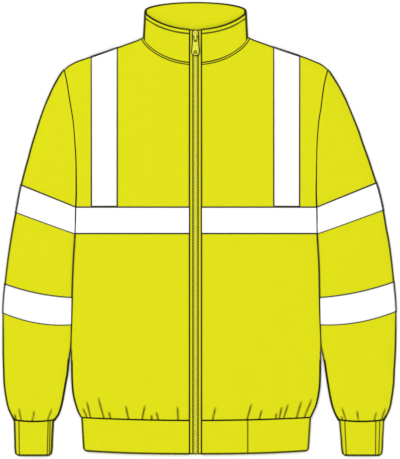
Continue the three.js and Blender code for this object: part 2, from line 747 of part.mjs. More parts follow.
// The pull tab: a tongue with a slot round the crown and a round hole near its end
function tabSolid() {
  const shape = new THREE.Shape();
  shape.moveTo(-4.9, TAB_TOP_Y);
  shape.lineTo(-5.4, TAB_TOP_Y - 0.8);
  shape.lineTo(-6.2, 780);
  shape.lineTo(-7.8, 766);
  shape.absarc(0, TAB_END_Y + 7.8, 7.8, Math.PI, 2 * Math.PI, false);
  shape.lineTo(7.8, 766);
  shape.lineTo(6.2, 780);
  shape.lineTo(5.4, TAB_TOP_Y - 0.8);
  shape.lineTo(4.9, TAB_TOP_Y);
  const slot = new THREE.Path();
  slot.moveTo(-2.5, 790.9);
  slot.lineTo(-2.5, 783.6);
  slot.lineTo(-1.6, 782.4);
  slot.lineTo(1.6, 782.4);
  slot.lineTo(2.5, 783.6);
  slot.lineTo(2.5, 790.9);
  const hole = new THREE.Path();
  hole.absarc(0, TAB_HOLE_Y, TAB_HOLE_RADIUS, 0, 2 * Math.PI, false);
  shape.holes = [slot, hole];
  const tab = new THREE.ExtrudeGeometry(shape, { depth: TAB_THICK, bevelEnabled: false, curveSegments: 10 });
  return tab.translate(0, 0, TAB_UNDER);
}

const cloth = { color: YELLOW, roughness: 0.85, metalness: 0 };
const reflective = { color: SILVER, roughness: 0.35, metalness: 0.1 };
const metal = { color: PAINTED, roughness: 0.4, metalness: 0.2 };
const jacket = new THREE.Group();

function add(name, geometry, look) {
  const mesh = new THREE.Mesh(geometry, new THREE.MeshStandardMaterial(look));
  mesh.name = name;
  jacket.add(mesh);
}

add('back_panel', plate(backOutline(), CLOTH_UNDER, BACK_TOP - CLOTH_UNDER), cloth);
add('waistband_back', plate(bandBackOutline(), 0, BACK_TOP), cloth);
add('chest_tape_back', plate(chestTapeBackOutline(), 0, TAPE_THICK), reflective);

const neckXs = {};
Object.keys(SIDES).forEach((name) => {
  const grid = frontGrid(name);
  const tapeRow = FRONT_HEIGHTS.length - 1;
  const braceEnd = grid.braceStart + BRACE_COLUMNS;
  neckXs[name] = grid.neckXs;
  add(`front_${name}`, frontWall(grid), cloth);
  add(`chest_tape_${name}`, frontTape(grid, tapeRow, tapeRow + 2, 0, grid.rows[0].top.length - 1), reflective);
  const brace = frontTape(grid, tapeRow + 2, grid.rows.length - 1, grid.braceStart, braceEnd, SEAM_GAP);
  add(`brace_tape_${name}_front`, brace, reflective);
  add(`brace_tape_${name}_back`, plate(braceBackOutline(name), 0, TAPE_THICK), reflective);

  const rows = SLEEVE_ROWS.map((_, index) => sleeveRow(name, index));
  add(`sleeve_${name}`, sleeveWall(rows), cloth);
  add(`sleeve_tape_upper_${name}`, sleeveTape(rows, UPPER_TAPE_ROWS), reflective);
  add(`sleeve_tape_lower_${name}`, sleeveTape(rows, LOWER_TAPE_ROWS), reflective);
  add(`cuff_${name}`, cuffWall(name), cloth);

  const sign = SIDES[name];
  const tapeXs = [sign * (CHAIN_HALF + SEAM_GAP), sign * ZIP_CLOTH_REACH].sort((a, b) => a - b);
  const zipCloth = box(...tapeXs, 0.3, ZIP_TOP_Y, ZIP_CLOTH_UNDER, ZIP_CLOTH_UNDER + ZIP_CLOTH_THICK);
  add(`zip_tape_${name}`, zipCloth, cloth);
});

add('collar', collarWall(neckXs), cloth);
add('waistband_front_right', bandWall('right', ZIP_OPENING, null), cloth);
add('waistband_front_left_inner', bandWall('left', ZIP_OPENING, BAND_SEAM_X - HALF_SEAM), cloth);
add('waistband_front_left_outer', bandWall('left', BAND_SEAM_X + HALF_SEAM, null), cloth);
add('zip_chain', box(-CHAIN_HALF, CHAIN_HALF, 0, SLIDER_BOTTOM_Y - SEAM_GAP, CHAIN_UNDER, CHAIN_TOP), metal);
add('zip_slider', sliderSolid(), metal);
add('zip_pull', tabSolid(), metal);

// The origin is the middle of the jacket's footprint, on the surface that it lies on
const bounds = new THREE.Box3().setFromObject(jacket);
const middle = bounds.getCenter(new THREE.Vector3());
jacket.position.set(-middle.x, -middle.y, -bounds.min.z);
jacket.updateMatrixWorld(true);

export default jacket;
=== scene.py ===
import math

import bpy
import numpy as np
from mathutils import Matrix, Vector


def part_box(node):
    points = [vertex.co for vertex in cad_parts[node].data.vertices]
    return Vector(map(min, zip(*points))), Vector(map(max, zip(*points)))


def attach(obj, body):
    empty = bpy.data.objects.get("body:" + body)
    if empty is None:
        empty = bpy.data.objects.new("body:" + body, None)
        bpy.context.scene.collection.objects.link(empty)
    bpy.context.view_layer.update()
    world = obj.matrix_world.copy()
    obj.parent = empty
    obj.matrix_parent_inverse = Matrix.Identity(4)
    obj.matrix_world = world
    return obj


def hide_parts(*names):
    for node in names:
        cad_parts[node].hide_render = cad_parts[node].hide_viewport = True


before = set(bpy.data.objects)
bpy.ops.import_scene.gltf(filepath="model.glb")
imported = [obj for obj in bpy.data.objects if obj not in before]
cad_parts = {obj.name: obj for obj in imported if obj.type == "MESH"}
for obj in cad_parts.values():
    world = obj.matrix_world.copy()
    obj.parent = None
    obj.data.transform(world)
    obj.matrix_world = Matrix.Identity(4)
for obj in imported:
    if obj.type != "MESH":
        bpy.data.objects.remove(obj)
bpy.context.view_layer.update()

MM = 0.001
CHAIN_LOW, CHAIN_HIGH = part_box("zip_chain")
ZIP_X = (CHAIN_LOW[0] + CHAIN_HIGH[0]) / 2 / MM
HEM_Y = CHAIN_LOW[1] / MM
BODY = "jacket"
TAB_BODY = "pull_tab"
SIDES = {"right": -1, "left": 1}

# Layers above the floor
TAPE_THICK = 0.5
TAPE_GAP = 0.3
CLOTH_UNDER = 0.8
BACK_TOP = 2.8
SLEEVE_BACK_TOP = 3.0
CROWN_TOP = 8.9
CROWN_INSIDE = 6.9
BAND_CROWN = 9.3
FOLD_TIP = 2.9
FOLD_INSIDE = 3.15
EDGE_TOP = 5.1
EDGE_UNDER = 3.1
FOLD_REACH = 30
FOLD_ROUND = 2.5
CLOTH_WALL = 2.0

# Body
ZIP_OPENING = 11.4
SHOULDER_RISE_X = 70
HEM_SEAM_Y = 64.4
HEM_SEAM_RISE = 5.6
HEM_HALF_WIDTH = 216
CHEST_TAPE_Y = 418.5
CHEST_TAPE_TOP = 469
BRACE_INNER_X = 148.2
BRACE_OUTER_X = 197.6
ARMPIT_Y = 418
ARMHOLE_TOP_Y = 728.5
SIDE_CLEARANCE = 0.25
SLEEVE_CLEARANCE = 0.35
FOLD_SWELL = 0.8
EDGE_SWELL = 1.4
INNER_SWELL = 2.4
HEM_SWELL = 0.9
HALF_SEAM = 0.15
# Below this height the sleeve leaves the body, over a short stretch
APART_Y = 200
APART_REACH = 22
# What a whole share stands for on a front: across, and up below and above the chest tape
PANEL_ACROSS = 230
PANEL_LOWER = 810
PANEL_UPPER = 520
# Where a seam doesn't run, its distance is set to this
NO_SEAM = 9.0

# Sleeves
SLEEVE_END_Y = 62.5
SLEEVE_TAPE_WIDTH = 52.0
UPPER_TAPE_LINES = (9, 11)
LOWER_TAPE_LINES = (14, 16)
WRIST_CREASE_WIDTH = 1.8
ARMPIT_LINE = 11
FRONT_INNER_STEPS = 46
BACK_INNER_STEPS = 28

# Neck and collar
NECK_HALF = 99.5
NECK_SIDE_Y = 791.2
NECK_DROP = 48.9
COLLAR_HALF = 98.7
COLLAR_TOP_HALF = 97.4
COLLAR_LOW_HALF = 100
COLLAR_SIDE_TOP = 841
COLLAR_FRONT_DIP = 34.2
COLLAR_BACK_RISE = 17.5
COLLAR_HEIGHT = 60.0
COLLAR_THICK = 1.9
COLLAR_UNDER = 0.8
COLLAR_BACK_INSIDE = 3.0
COLLAR_FOLD_REACH = 22
COLLAR_STITCH_DROP = 9.3
NECK_STITCH_DROP = 1.9

# Cuffs and waistband
CUFF_THICK = 2.4
CUFF_TOP_Y = 62.2
CUFF_HEM_Y = -3.8
CUFF_WIDTH = 76
CUFF_SAG = 3.4
BAND_CORNER = 8
BAND_SEAM_SHADE = 0.6
BAND_SEAM_X = 99
BAND_HALF = {"right": 212, "left": 214}
BAND_FLARE = 4
BAND_FLARE_Y = 66
HEM_CURVE = 5.5
HEM_CURVE_HALF = 204
HEM_ROUND = 3.2

# Zip
ZIP_TOP_Y = 806
CHAIN_UNDER = 5.0
CHAIN_TOP = 8.2
CHAIN_END_Y = 783.2
CORE_HALF = 3.6
CORE_TOP = 7.75
TOOTH_PITCH = 2.9
TOOTH_HEAD = 0.68
TOOTH_NECK = 0.95
TOOTH_EDGE = 0.22
TOOTH_DARK_X = 3.2
TOOTH_END_SHADE = 0.93
ZIP_CLOTH_INNER = 4.5
ZIP_CLOTH_WIDTH = 12.9
ZIP_CLOTH_UNDER = 5.3
ZIP_CLOTH_TOP = 6.25

# Slider and pull tab
CROWN_HALF = 1.9
TAB_UNDER = 10.2
TAB_TOP = 11.8
TAB_BEVEL = 0.35
TAB_END_Y = 755.4
TAB_ROUND = 7.8
TAB_HOLE_Y = 762.3
TAB_HOLE_RADIUS = 2.5

# Seams, creases and sewing
SEAM_ROLL = 1.5
SEAM_DEPTH = 1.3
GATHER_WIDTH = 2.1
GATHER_DEPTH = 2.2
BACK_CREASE_SHARE = 0.5
STITCH_LENGTH = 2.7
STITCH_PITCH = 3.5
STITCH_RADIUS = 0.22
STITCH_LOWEST = 0.02
TAPE_STITCH_INSET = 4.3
ZIP_STITCH_INSET = 4.5
SEWN_ROW = 5
SHARP_ANGLE = 48

# Painted shade: dark lines along seams, folded edges and the edges of the tape, where shade falls
SEAM_LINE = 1.45
FOLD_LINE = 4.0
FOLD_LINE_SHADE = 0.96
SHOULDER_LINE_WIDTH = 3.1
COLLAR_TOP_LINE = 3.3
COLLAR_STITCH_LINE = 1.6
NECK_LINE = 1.05
NECK_LINE_DROP = 3.6
TAPE_LINE = 2.8
TAPE_END_LINE = 1.3
TAPE_BACKING = 1.1
ZIP_END_LINE = 2.4
ZIP_INNER_LINE = 1.65
ZIP_OUTER_LINE = 1.7
ZIP_LINE_SHADE = 0.95
LINE_BLUR = 0.2
# Fine steps inwards from an edge, with a step on each side of every line's limit
EDGE_STEPS = (0.4, 0.9, SEAM_LINE - LINE_BLUR, SEAM_LINE + LINE_BLUR, FOLD_LINE - LINE_BLUR,
              FOLD_LINE + LINE_BLUR, 4.7)
EDGE_MARGIN = 5.0

# Colours and the pitch of the weave
YELLOW = (0.65, 0.65, 0.0062)
YELLOW_DEEP = (0.58, 0.58, 0.0058)
SHADE_YELLOW = (0.010, 0.010, 0.002)
SHADE_TAPE = (0.006, 0.006, 0.005)
SILVER = (0.93, 0.93, 0.93)
SILVER_DEEP = (0.80, 0.80, 0.81)
THREAD_YELLOW = (0.62, 0.61, 0.02)
THREAD_SILVER = (0.62, 0.62, 0.60)
TEETH_YELLOW = (0.78, 0.78, 0.008)
METAL_YELLOW = (0.66, 0.66, 0.010)
# Near black for the cords of painted shade along the slider's and the tab's edges
EDGE_SHADE_BLACK = (0.006, 0.006, 0.004)
WEAVE_PITCH = 0.0006
ZIP_WEAVE_PITCH = 0.0009
TAPE_WEAVE_PITCH = 0.0005
RIB_PITCH = 0.0034
# A wave texture repeats every twentieth of a full turn
WAVE_PERIOD = 2 * math.pi / 20

# Floor, lamps and camera, in metres: each lamp's place, size and power
FLOOR_SIZE = 40.0
FLOOR_WHITE = (0.93, 0.93, 0.93, 1)
LAMPS = {
    "key": ((-1.1, 1.2, 3.2), 2.2, 66),
    "fill": ((1.9, -0.6, 2.8), 2.2, 26),
    "low": ((-0.4, -2.4, 1.8), 1.4, 14),
}
SKY_LIGHT = 0.55
CAMERA_HEIGHT = 4.0
SENSOR = 36.0
# The photograph in pixels: its size, the zip's column and the hem's row
PHOTO_WIDTH = 400
PHOTO_HEIGHT = 459
PHOTO_ZIP_COLUMN = 195.5
PHOTO_HEM_ROW = 453.9
MM_PER_PIXEL = 1.9


def rows(columns, *values):
    """A short table: a dictionary of arrays under the named columns."""
    return dict(zip(columns.split(), np.array(values, dtype=float).T))


# Side line of the body: distance from the zip at each height
BODY_SIDE = rows(
    "y right left",
    (68, 216.6, 218.5),
    (80, 223, 224),
    (91, 227, 229),
    (110, 232, 233.7),
    (133, 234.5, 236.6),
    (178, 235.6, 237.5),
    (201, 236.6, 238.3),
    (270, 234.7, 236),
    (315, 233.7, 235.2),
    (361, 232, 234.2),
    (418, 228.6, 231),
    (470, 227, 230),
    (498, 226, 228.8),
    (543, 226, 229),
    (589, 228, 230),
    (634, 231.8, 233.7),
    (657, 235.6, 237.5),
    (680, 239.4, 240.4),
    (703, 243, 244),
    (731, 249, 251),
)

# Outer edge of the sleeves
SLEEVE_OUTER = rows(
    "y right left",
    (62.5, 345, 358),
    (74, 350.6, 364),
    (87, 356, 369.5),
    (110, 361, 374),
    (133, 364, 377),
    (156, 365, 378),
    (201, 366, 380.5),
    (258, 366, 381),
    (292, 365, 380),
    (315, 363, 378),
    (361, 358, 373.5),
    (406, 351.5, 367.5),
    (429, 347.7, 363),
    (463, 341, 357.3),
    (503, 333.5, 348),
    (534, 326, 337.8),
    (563, 318, 328.3),
    (590, 310.7, 318.5),
    (614, 303, 310.5),
    (637.5, 295.5, 301),
    (658, 288, 292.5),
    (678, 280, 284),
    (694, 272.7, 275.6),
    (709.5, 265, 267),
    (722, 257.5, 259),
    (731, 249, 251),
)

# Inner edge of the sleeves below the armpit
SLEEVE_INNER = rows(
    "y right left",
    (62.5, 268.7, 272.8),
    (74, 261, 266.5),
    (91, 255, 260),
    (110, 251, 255.6),
    (133, 247, 251.6),
    (156, 243, 248),
    (178, 241, 244.7),
    (188, 239, 241.9),
    (201, 236.6, 238.3),
    (270, 234.7, 236),
    (315, 233.7, 235.2),
    (361, 232, 234.2),
    (418, 228.6, 231),
)

# Lines across a sleeve from the shoulder down: height at the armhole or inner edge,
# height at each sleeve's outer edge, and how far the line sags between them
SLEEVE_LINES = rows(
    "inner right left sag",
    (731, 722, 722, -1.2),
    (717, 706, 707, 0),
    (700, 690, 691, 0),
    (678, 670, 671, 0),
    (650, 645, 647, 0),
    (615, 617, 619, 0),
    (575, 586, 589, 0),
    (530, 554, 557, 0),
    (497, 531, 535, 0),
    (469, 512, 516, 0),
    (443.7, 486, 490, 0),
    (418, 459.5, 464, 0),
    (385, 424, 428, 1),
    (342, 374, 377, 3),
    (297, 323, 327, 5),
    (271, 296, 299, 6.5),
    (246, 269, 272, 8),
    (208, 225, 227, 3),
    (165, 174, 175, 1),
    (130, 134, 134, 0),
    (104, 105, 105, 0),
    (84, 84, 84, 0),
    (72, 72, 72, 0),
    (62.8, 62.8, 62.8, 0),
)

# Shoulder seam from the neck to the shoulder point
SHOULDER = rows(
    "x right left",
    (99.5, 791.2, 792.2),
    (110, 786.4, 787.3),
    (123, 781.6, 782.6),
    (153, 770.8, 771.8),
    (183, 760.4, 761.9),
    (210, 751.2, 752.9),
    (225, 746, 746.8),
    (240, 738, 739.9),
    (249, 730.7, 732.8),
)

# Gathers above the waistband: place at the seam, place of the top end, height
WAIST_GATHERS = {
    "right": rows(
        "x top height",
        (32.7, 34, 24),
        (70.3, 74, 14),
        (83, 83, 9),
        (101.3, 96.3, 25),
        (126.7, 132, 24),
        (161, 163.8, 12),
        (173.5, 183.5, 36),
        (198.7, 205.4, 28),
        (205.4, 212.8, 16),
    ),
    "left": rows(
        "x top height",
        (32.3, 37.6, 23),
        (97.7, 105.5, 28),
        (120.8, 125.4, 17),
        (152.8, 152.8, 10),
        (158.8, 163, 21),
        (167, 175, 25),
        (191.5, 200, 29),
        (206.5, 219.5, 32),
    ),
}

# The same above the cuffs
WRIST_GATHERS = {
    "right": rows(
        "x top height",
        (281, 273, 22),
        (309.5, 305.7, 19),
        (330, 334.6, 23),
        (339, 343, 13),
    ),
    "left": rows(
        "x top height",
        (280, 277, 9),
        (286, 278, 24),
        (310, 306, 19),
        (338.6, 342.4, 16),
        (351.5, 359.7, 23),
    ),
}

# Edges of the cuffs from the sleeve down to the hem
CUFF_LINES = {
    "right": rows(
        "y inner outer",
        (62.2, 268.7, 345),
        (30, 270.5, 344),
        (5, 272, 343),
        (-0.5, 273.6, 341.4),
        (-3, 278, 337),
    ),
    "left": rows(
        "y inner outer",
        (62.2, 272.8, 358),
        (30, 275.5, 356.3),
        (5, 277.6, 355),
        (-0.5, 279.2, 353.4),
        (-3, 283.5, 349),
    ),
}

# Upright seams and pressed folds of the cuffs: place at the sleeve and at the hem
CUFF_CREASES = {
    "right": rows("top hem", (275.5, 277.4), (279.3, 281.2), (334.8, 334.2)),
    "left": rows("top hem", (283, 286), (342, 341.5), (349.6, 347.7)),
}


def clamp(value):
    return np.clip(value, 0.0, 1.0)


def mix(start, end, share):
    return start + (end - start) * share


def ease(value):
    share = clamp(value)
    return share * share * (3 - 2 * share)


def bulge(share):
    """A quarter round: 0 at a folded edge, 1 once the cloth lies level."""
    return np.sqrt(1 - (1 - clamp(share)) ** 2)


def bell(distance, width):
    return np.exp(-((distance / width) ** 2))


def smooth_curve(xs, ys):
    """A smooth function through the points, in rising order, that never overshoots them."""
    steps = np.diff(xs)
    slopes = np.diff(ys) / steps
    tangents = np.concatenate([[slopes[0]], (slopes[1:] + slopes[:-1]) / 2, [slopes[-1]]])
    turns = np.concatenate([[False], slopes[1:] * slopes[:-1] <= 0, [False]])
    tangents[turns] = 0
    limit = 3 * np.minimum(
        np.concatenate([[abs(slopes[0])], abs(slopes)]), np.concatenate([abs(slopes), [abs(slopes[-1])]])
    )
    tangents = np.clip(tangents, -limit, limit)

    def at(x):
        x = np.clip(np.asarray(x, dtype=float), xs[0], xs[-1])
        k = np.clip(np.searchsorted(xs, x) - 1, 0, len(steps) - 1)
        t = (x - xs[k]) / steps[k]
        return (
            ys[k] * (1 + 2 * t) * (1 - t) ** 2
            + tangents[k] * steps[k] * t * (1 - t) ** 2
            + ys[k + 1] * t * t * (3 - 2 * t)
            + tangents[k + 1] * steps[k] * t * t * (t - 1)
        )

    return at


def column_curve(table, key, column):
    order = np.argsort(table[key])
    return smooth_curve(table[key][order], table[column][order])


BODY_EDGE = {name: column_curve(BODY_SIDE, "y", name) for name in SIDES}
OUTER_EDGE = {name: column_curve(SLEEVE_OUTER, "y", name) for name in SIDES}
INNER_EDGE = {name: column_curve(SLEEVE_INNER, "y", name) for name in SIDES}
SHOULDER_LINE = {name: column_curve(SHOULDER, "x", name) for name in SIDES}


def hem_seam(x):
    return HEM_SEAM_Y + HEM_SEAM_RISE * (x / HEM_HALF_WIDTH) ** 2


def neckline(x):
    return NECK_SIDE_Y - NECK_DROP * (1 - clamp(x / NECK_HALF) ** 2) ** 0.7


def band_hem(x):
    return HEM_CURVE * (abs(x) / HEM_CURVE_HALF) ** 2.5 - HEM_SWELL


def apart(y):
    """1 where the sleeve hangs clear of the body, 0 where the two touch."""
    return clamp((APART_Y - y) / APART_REACH)


def body_side(name, y):
    """Distance from the zip to the body's side line, kept clear of the sleeve."""
    clearance = mix(SIDE_CLEARANCE, HALF_SEAM, clamp((y - CHEST_TAPE_Y) / 25))
    return BODY_EDGE[name](y) - clearance + EDGE_SWELL * apart(y)


def seam_lift(y):
    return ease((y - ARMPIT_Y) / 60)


def waves(x, y, seed, height):
    """Slow swells of cloth that doesn't lie dead level, a few centimetres long."""
    source = np.random.default_rng(seed)
    total = np.zeros(np.broadcast(x, y).shape)
    for _ in range(6):
        angle = source.uniform(0, math.pi)
        length = source.uniform(70, 190)
        phase = source.uniform(0, 2 * math.pi)
        total = total + np.sin((x * math.cos(angle) + y * math.sin(angle)) * 2 * math.pi / length + phase)
    return total * height / 3


def gather_relief(gathers, x, above, width=GATHER_WIDTH, depth=GATHER_DEPTH):
    """Height of the creases that fan up from an elastic seam, and how shaded each point is."""
    relief = np.zeros(np.broadcast(x, above).shape)
    shade = np.zeros_like(relief)
    for place, top, height in zip(gathers["x"], gathers["top"], gathers["height"]):
        share = above / height
        middle = mix(place, top, clamp(share)) + (top - place) * 0.4 * np.maximum(share - 1, 0)
        fade = np.sqrt(clamp(1.12 - share)) * ease(above / 1.5 + 0.4)
        spread = width * (1 + 0.5 * share)
        offset = x - middle
        relief = relief - depth * fade * bell(offset, spread)
        shoulders = bell(offset - 2.6 * spread, 2.0 * spread) + bell(offset + 2.6 * spread, 2.0 * spread)
        relief = relief + 0.42 * depth * fade * shoulders
        shade = np.maximum(shade, clamp(fade * 1.7) * bell(offset, 0.62 * spread))
    return relief, shade


def pucker_relief(x, above, seed):
    """Small uneven puckers that the elastic draws into the cloth next to the seam."""
    source = np.random.default_rng(seed)
    total = np.zeros(np.broadcast(x, above).shape)
    for length in (7.3, 11.9, 17.1):
        phase = source.uniform(0, 2 * math.pi)
        drift = source.uniform(-0.25, 0.25)
        total = total + np.sin((x + drift * above) * 2 * math.pi / length + phase)
    return 0.28 * total * np.exp(-above / 11)


def seam_dip(distance):
    """Cloth rolls down into a seam: how much is lost at a distance from it."""
    return SEAM_DEPTH * (1 - bulge(distance / SEAM_ROLL))


def line_shade(distance, width):
    """Painted shade: a dark line along an edge or seam, of the given width, with a slightly soft inner side.
    """
    return clamp((width + LINE_BLUR - distance) / (2 * LINE_BLUR))


def seam_shade(distance):
    return line_shade(distance, SEAM_LINE)


def fold_shade(distance):
    return FOLD_LINE_SHADE * line_shade(distance, FOLD_LINE)


def darkest(*shades):
    """The deepest of several shades at each point."""
    return np.maximum.reduce(np.broadcast_arrays(*shades))


def nearest(*distances):
    return np.minimum.reduce(np.broadcast_arrays(*distances))


def seed_for(name, first):
    """Each side has a seed of its own: the right one the first, the left one the next."""
    return first + (name == "left")


def neck_distance(x, y):
    """Distance from the curved neck seam."""
    line_x = NECK_HALF * np.sin(np.linspace(0, math.pi / 2, 160))
    line_y = neckline(line_x)
    return np.hypot(x[..., None] - line_x, y[..., None] - line_y).min(axis=-1)


def to_world(points):
    """Millimetres from the zip and the hem to metres in the frame."""
    moved = np.asarray(points, dtype=float) + np.array([ZIP_X, HEM_Y, 0.0])
    return moved * MM


def points_at(x, y, z):
    """A grid of points from grids of their coordinates."""
    return np.stack(np.broadcast_arrays(x, y, z), axis=-1)


def grain_of(u, v):
    """UVs in metres from lengths along the cloth in millimetres."""
    return np.stack([u, v], axis=-1) * MM


def make_mesh(name, points, faces, uvs=None, shade=None, smooth=True):
    """An object from points in millimetres, four- or three-cornered faces, optional UVs
    for each point in metres and an optional shade from 0 to 1."""
    mesh = bpy.data.meshes.new(name)
    mesh.from_pydata(to_world(points).tolist(), [], [list(map(int, face)) for face in faces])
    mesh.update()
    if smooth:
        mesh.polygons.foreach_set("use_smooth", [True] * len(mesh.polygons))
    corner_points = np.empty(len(mesh.loops), dtype=np.int32)
    mesh.loops.foreach_get("vertex_index", corner_points)
    if uvs is not None:
        layer = mesh.uv_layers.new(name="grain")
        layer.data.foreach_set("uv", np.asarray(uvs, dtype=np.float32)[corner_points].ravel())
    if shade is not None:
        attribute = mesh.attributes.new("shade", "FLOAT", "POINT")
        attribute.data.foreach_set("value", np.asarray(shade, dtype=np.float32).ravel())
    mesh.set_sharp_from_angle(angle=math.radians(SHARP_ANGLE))
    piece = bpy.data.objects.new(name, mesh)
    bpy.context.scene.collection.objects.link(piece)
    return piece


def grid_faces(count_rows, count_columns, start=0, wraps=False):
    """Faces of a grid of points stored row after row; wraps joins its last column to its first."""
    across = count_columns if wraps else count_columns - 1
    row, column = np.meshgrid(np.arange(count_rows - 1), np.arange(across), indexing="ij")
    beside = (column + 1) % count_columns
    corners = [
        row * count_columns + column,
        row * count_columns + beside,
        (row + 1) * count_columns + beside,
        (row + 1) * count_columns + column,
    ]
    return np.stack([corner.ravel() for corner in corners], axis=1) + start


def facing_out(points, faces):
    """The faces of a closed body, turned so that they all look outwards."""
    a, b, c, d = (points[faces[:, k]] for k in range(4))
    volume = np.einsum("ij,ij->", a, np.cross(b, c)) + np.einsum("ij,ij->", a, np.cross(c, d))
    return faces if volume > 0 else faces[:, ::-1]


def wall(name, outer, inner, uvs, shade, wraps=False):
    """A closed wall of cloth between two grids of points of the same shape (rows, columns, 3)."""
    count_rows, count_columns = outer.shape[:2]
    total = count_rows * count_columns
    out = grid_faces(count_rows, count_columns, 0, wraps)
    back = grid_faces(count_rows, count_columns, total, wraps)[:, ::-1]
    across = count_columns if wraps else count_columns - 1
    k = np.arange(across)
    beside = (k + 1) % count_columns
    last = (count_rows - 1) * count_columns
    rims = [
        np.stack([total + k, total + beside, beside, k], axis=1),
        np.stack([last + k, last + beside, total + last + beside, total + last + k], axis=1),
    ]
    if not wraps:
        r = np.arange(count_rows - 1) * count_columns
        end = r + count_columns - 1
        rims.append(np.stack([r, r + count_columns, total + r + count_columns, total + r], axis=1))
        rims.append(np.stack([end, total + end, total + end + count_columns, end + count_columns], axis=1))
    points = np.concatenate([outer.reshape(-1, 3), inner.reshape(-1, 3)])
    faces = facing_out(points, np.concatenate([out, back, *rims]))
    both = np.concatenate([uvs.reshape(-1, 2), uvs.reshape(-1, 2)])
    shades = np.concatenate([shade.ravel(), shade.ravel()])
    return make_mesh(name, points, faces, both, shades)


def dress(piece, node, material, body=BODY):
    """Puts a piece in the place of a node, with its material, on its body."""
    piece.data.materials.clear()
    piece.data.materials.append(material)
    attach(piece, body)
    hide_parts(*([node] if isinstance(node, str) else node))
    return piece


# Materials


def new_material(name):
    material = bpy.data.materials.new(name)
    material.use_nodes = True
    nodes = material.node_tree.nodes
    nodes.clear()
    output = nodes.new("ShaderNodeOutputMaterial")
    shader = nodes.new("ShaderNodeBsdfPrincipled")
    material.node_tree.links.new(shader.outputs["BSDF"], output.inputs["Surface"])
    return material, nodes, material.node_tree.links, shader


def math_node(nodes, links, operation, first, second):
    node = nodes.new("ShaderNodeMath")
    node.operation = operation
    for socket, value in zip(node.inputs, (first, second)):
        if isinstance(value, (int, float)):
            socket.default_value = value
        else:
            links.new(value, socket)
    return node.outputs[0]


def scaled_grain(nodes, links, scale, turn=0.0):
    """The piece's own UVs, which are in metres along its grain, scaled up."""
    uvs = nodes.new("ShaderNodeUVMap")
    uvs.uv_map = "grain"
    mapping = nodes.new("ShaderNodeMapping")
    mapping.inputs["Scale"].default_value = scale
    mapping.inputs["Rotation"].default_value = (0, 0, turn)
    links.new(uvs.outputs["UV"], mapping.inputs["Vector"])
    return mapping.outputs["Vector"]


def threads(nodes, links, vector, direction):
    wave = nodes.new("ShaderNodeTexWave")
    wave.wave_type = "BANDS"
    wave.bands_direction = direction
    wave.wave_profile = "SIN"
    wave.inputs["Scale"].default_value = 1.0
    wave.inputs["Distortion"].default_value = 0.6
    wave.inputs["Detail"].default_value = 1.0
    wave.inputs["Detail Scale"].default_value = 0.4
    links.new(vector, wave.inputs["Vector"])
    return wave.outputs["Fac"]


def noise(nodes, links, vector, scale, detail=3.0, roughness=0.5):
    texture = nodes.new("ShaderNodeTexNoise")
    texture.inputs["Scale"].default_value = scale
    texture.inputs["Detail"].default_value = detail
    texture.inputs["Roughness"].default_value = roughness
    if vector is not None:
        links.new(vector, texture.inputs["Vector"])
    return texture.outputs["Fac"]


def ramp(nodes, links, factor, stops):
    """A colour ramp: stops are (position, colour) pairs."""
    node = nodes.new("ShaderNodeValToRGB")
    elements = node.color_ramp.elements
    while len(elements) < len(stops):
        elements.new(0.5)
    for element, (position, colour) in zip(elements, stops):
        element.position = position
        element.color = (*colour, 1)
    links.new(factor, node.inputs["Fac"])
    return node.outputs["Color"]


def blend_colour(nodes, links, factor, first, second):
    node = nodes.new("ShaderNodeMix")
    node.data_type = "RGBA"
    sockets = [s for s in node.inputs if s.type == "RGBA" and s.enabled]
    links.new(factor, [s for s in node.inputs if s.name == "Factor" and s.enabled][0])
    for socket, value in zip(sockets, (first, second)):
        if isinstance(value, tuple):
            socket.default_value = (*value, 1)
        else:
            links.new(value, socket)
    return [s for s in node.outputs if s.type == "RGBA" and s.enabled][0]


def bump(nodes, links, height, distance, strength, before=None):
    node = nodes.new("ShaderNodeBump")
    node.inputs["Strength"].default_value = strength
    node.inputs["Distance"].default_value = distance
    links.new(height, node.inputs["Height"])
    if before is not None:
        links.new(before, node.inputs["Normal"])
    return node.outputs["Normal"]


def shade_value(nodes):
    attribute = nodes.new("ShaderNodeAttribute")
    attribute.attribute_type = "GEOMETRY"
    attribute.attribute_name = "shade"
    return attribute.outputs["Fac"]


def pitch_grain(nodes, links, pitch):
    scale = WAVE_PERIOD / pitch
    return scaled_grain(nodes, links, (scale, scale, 1))


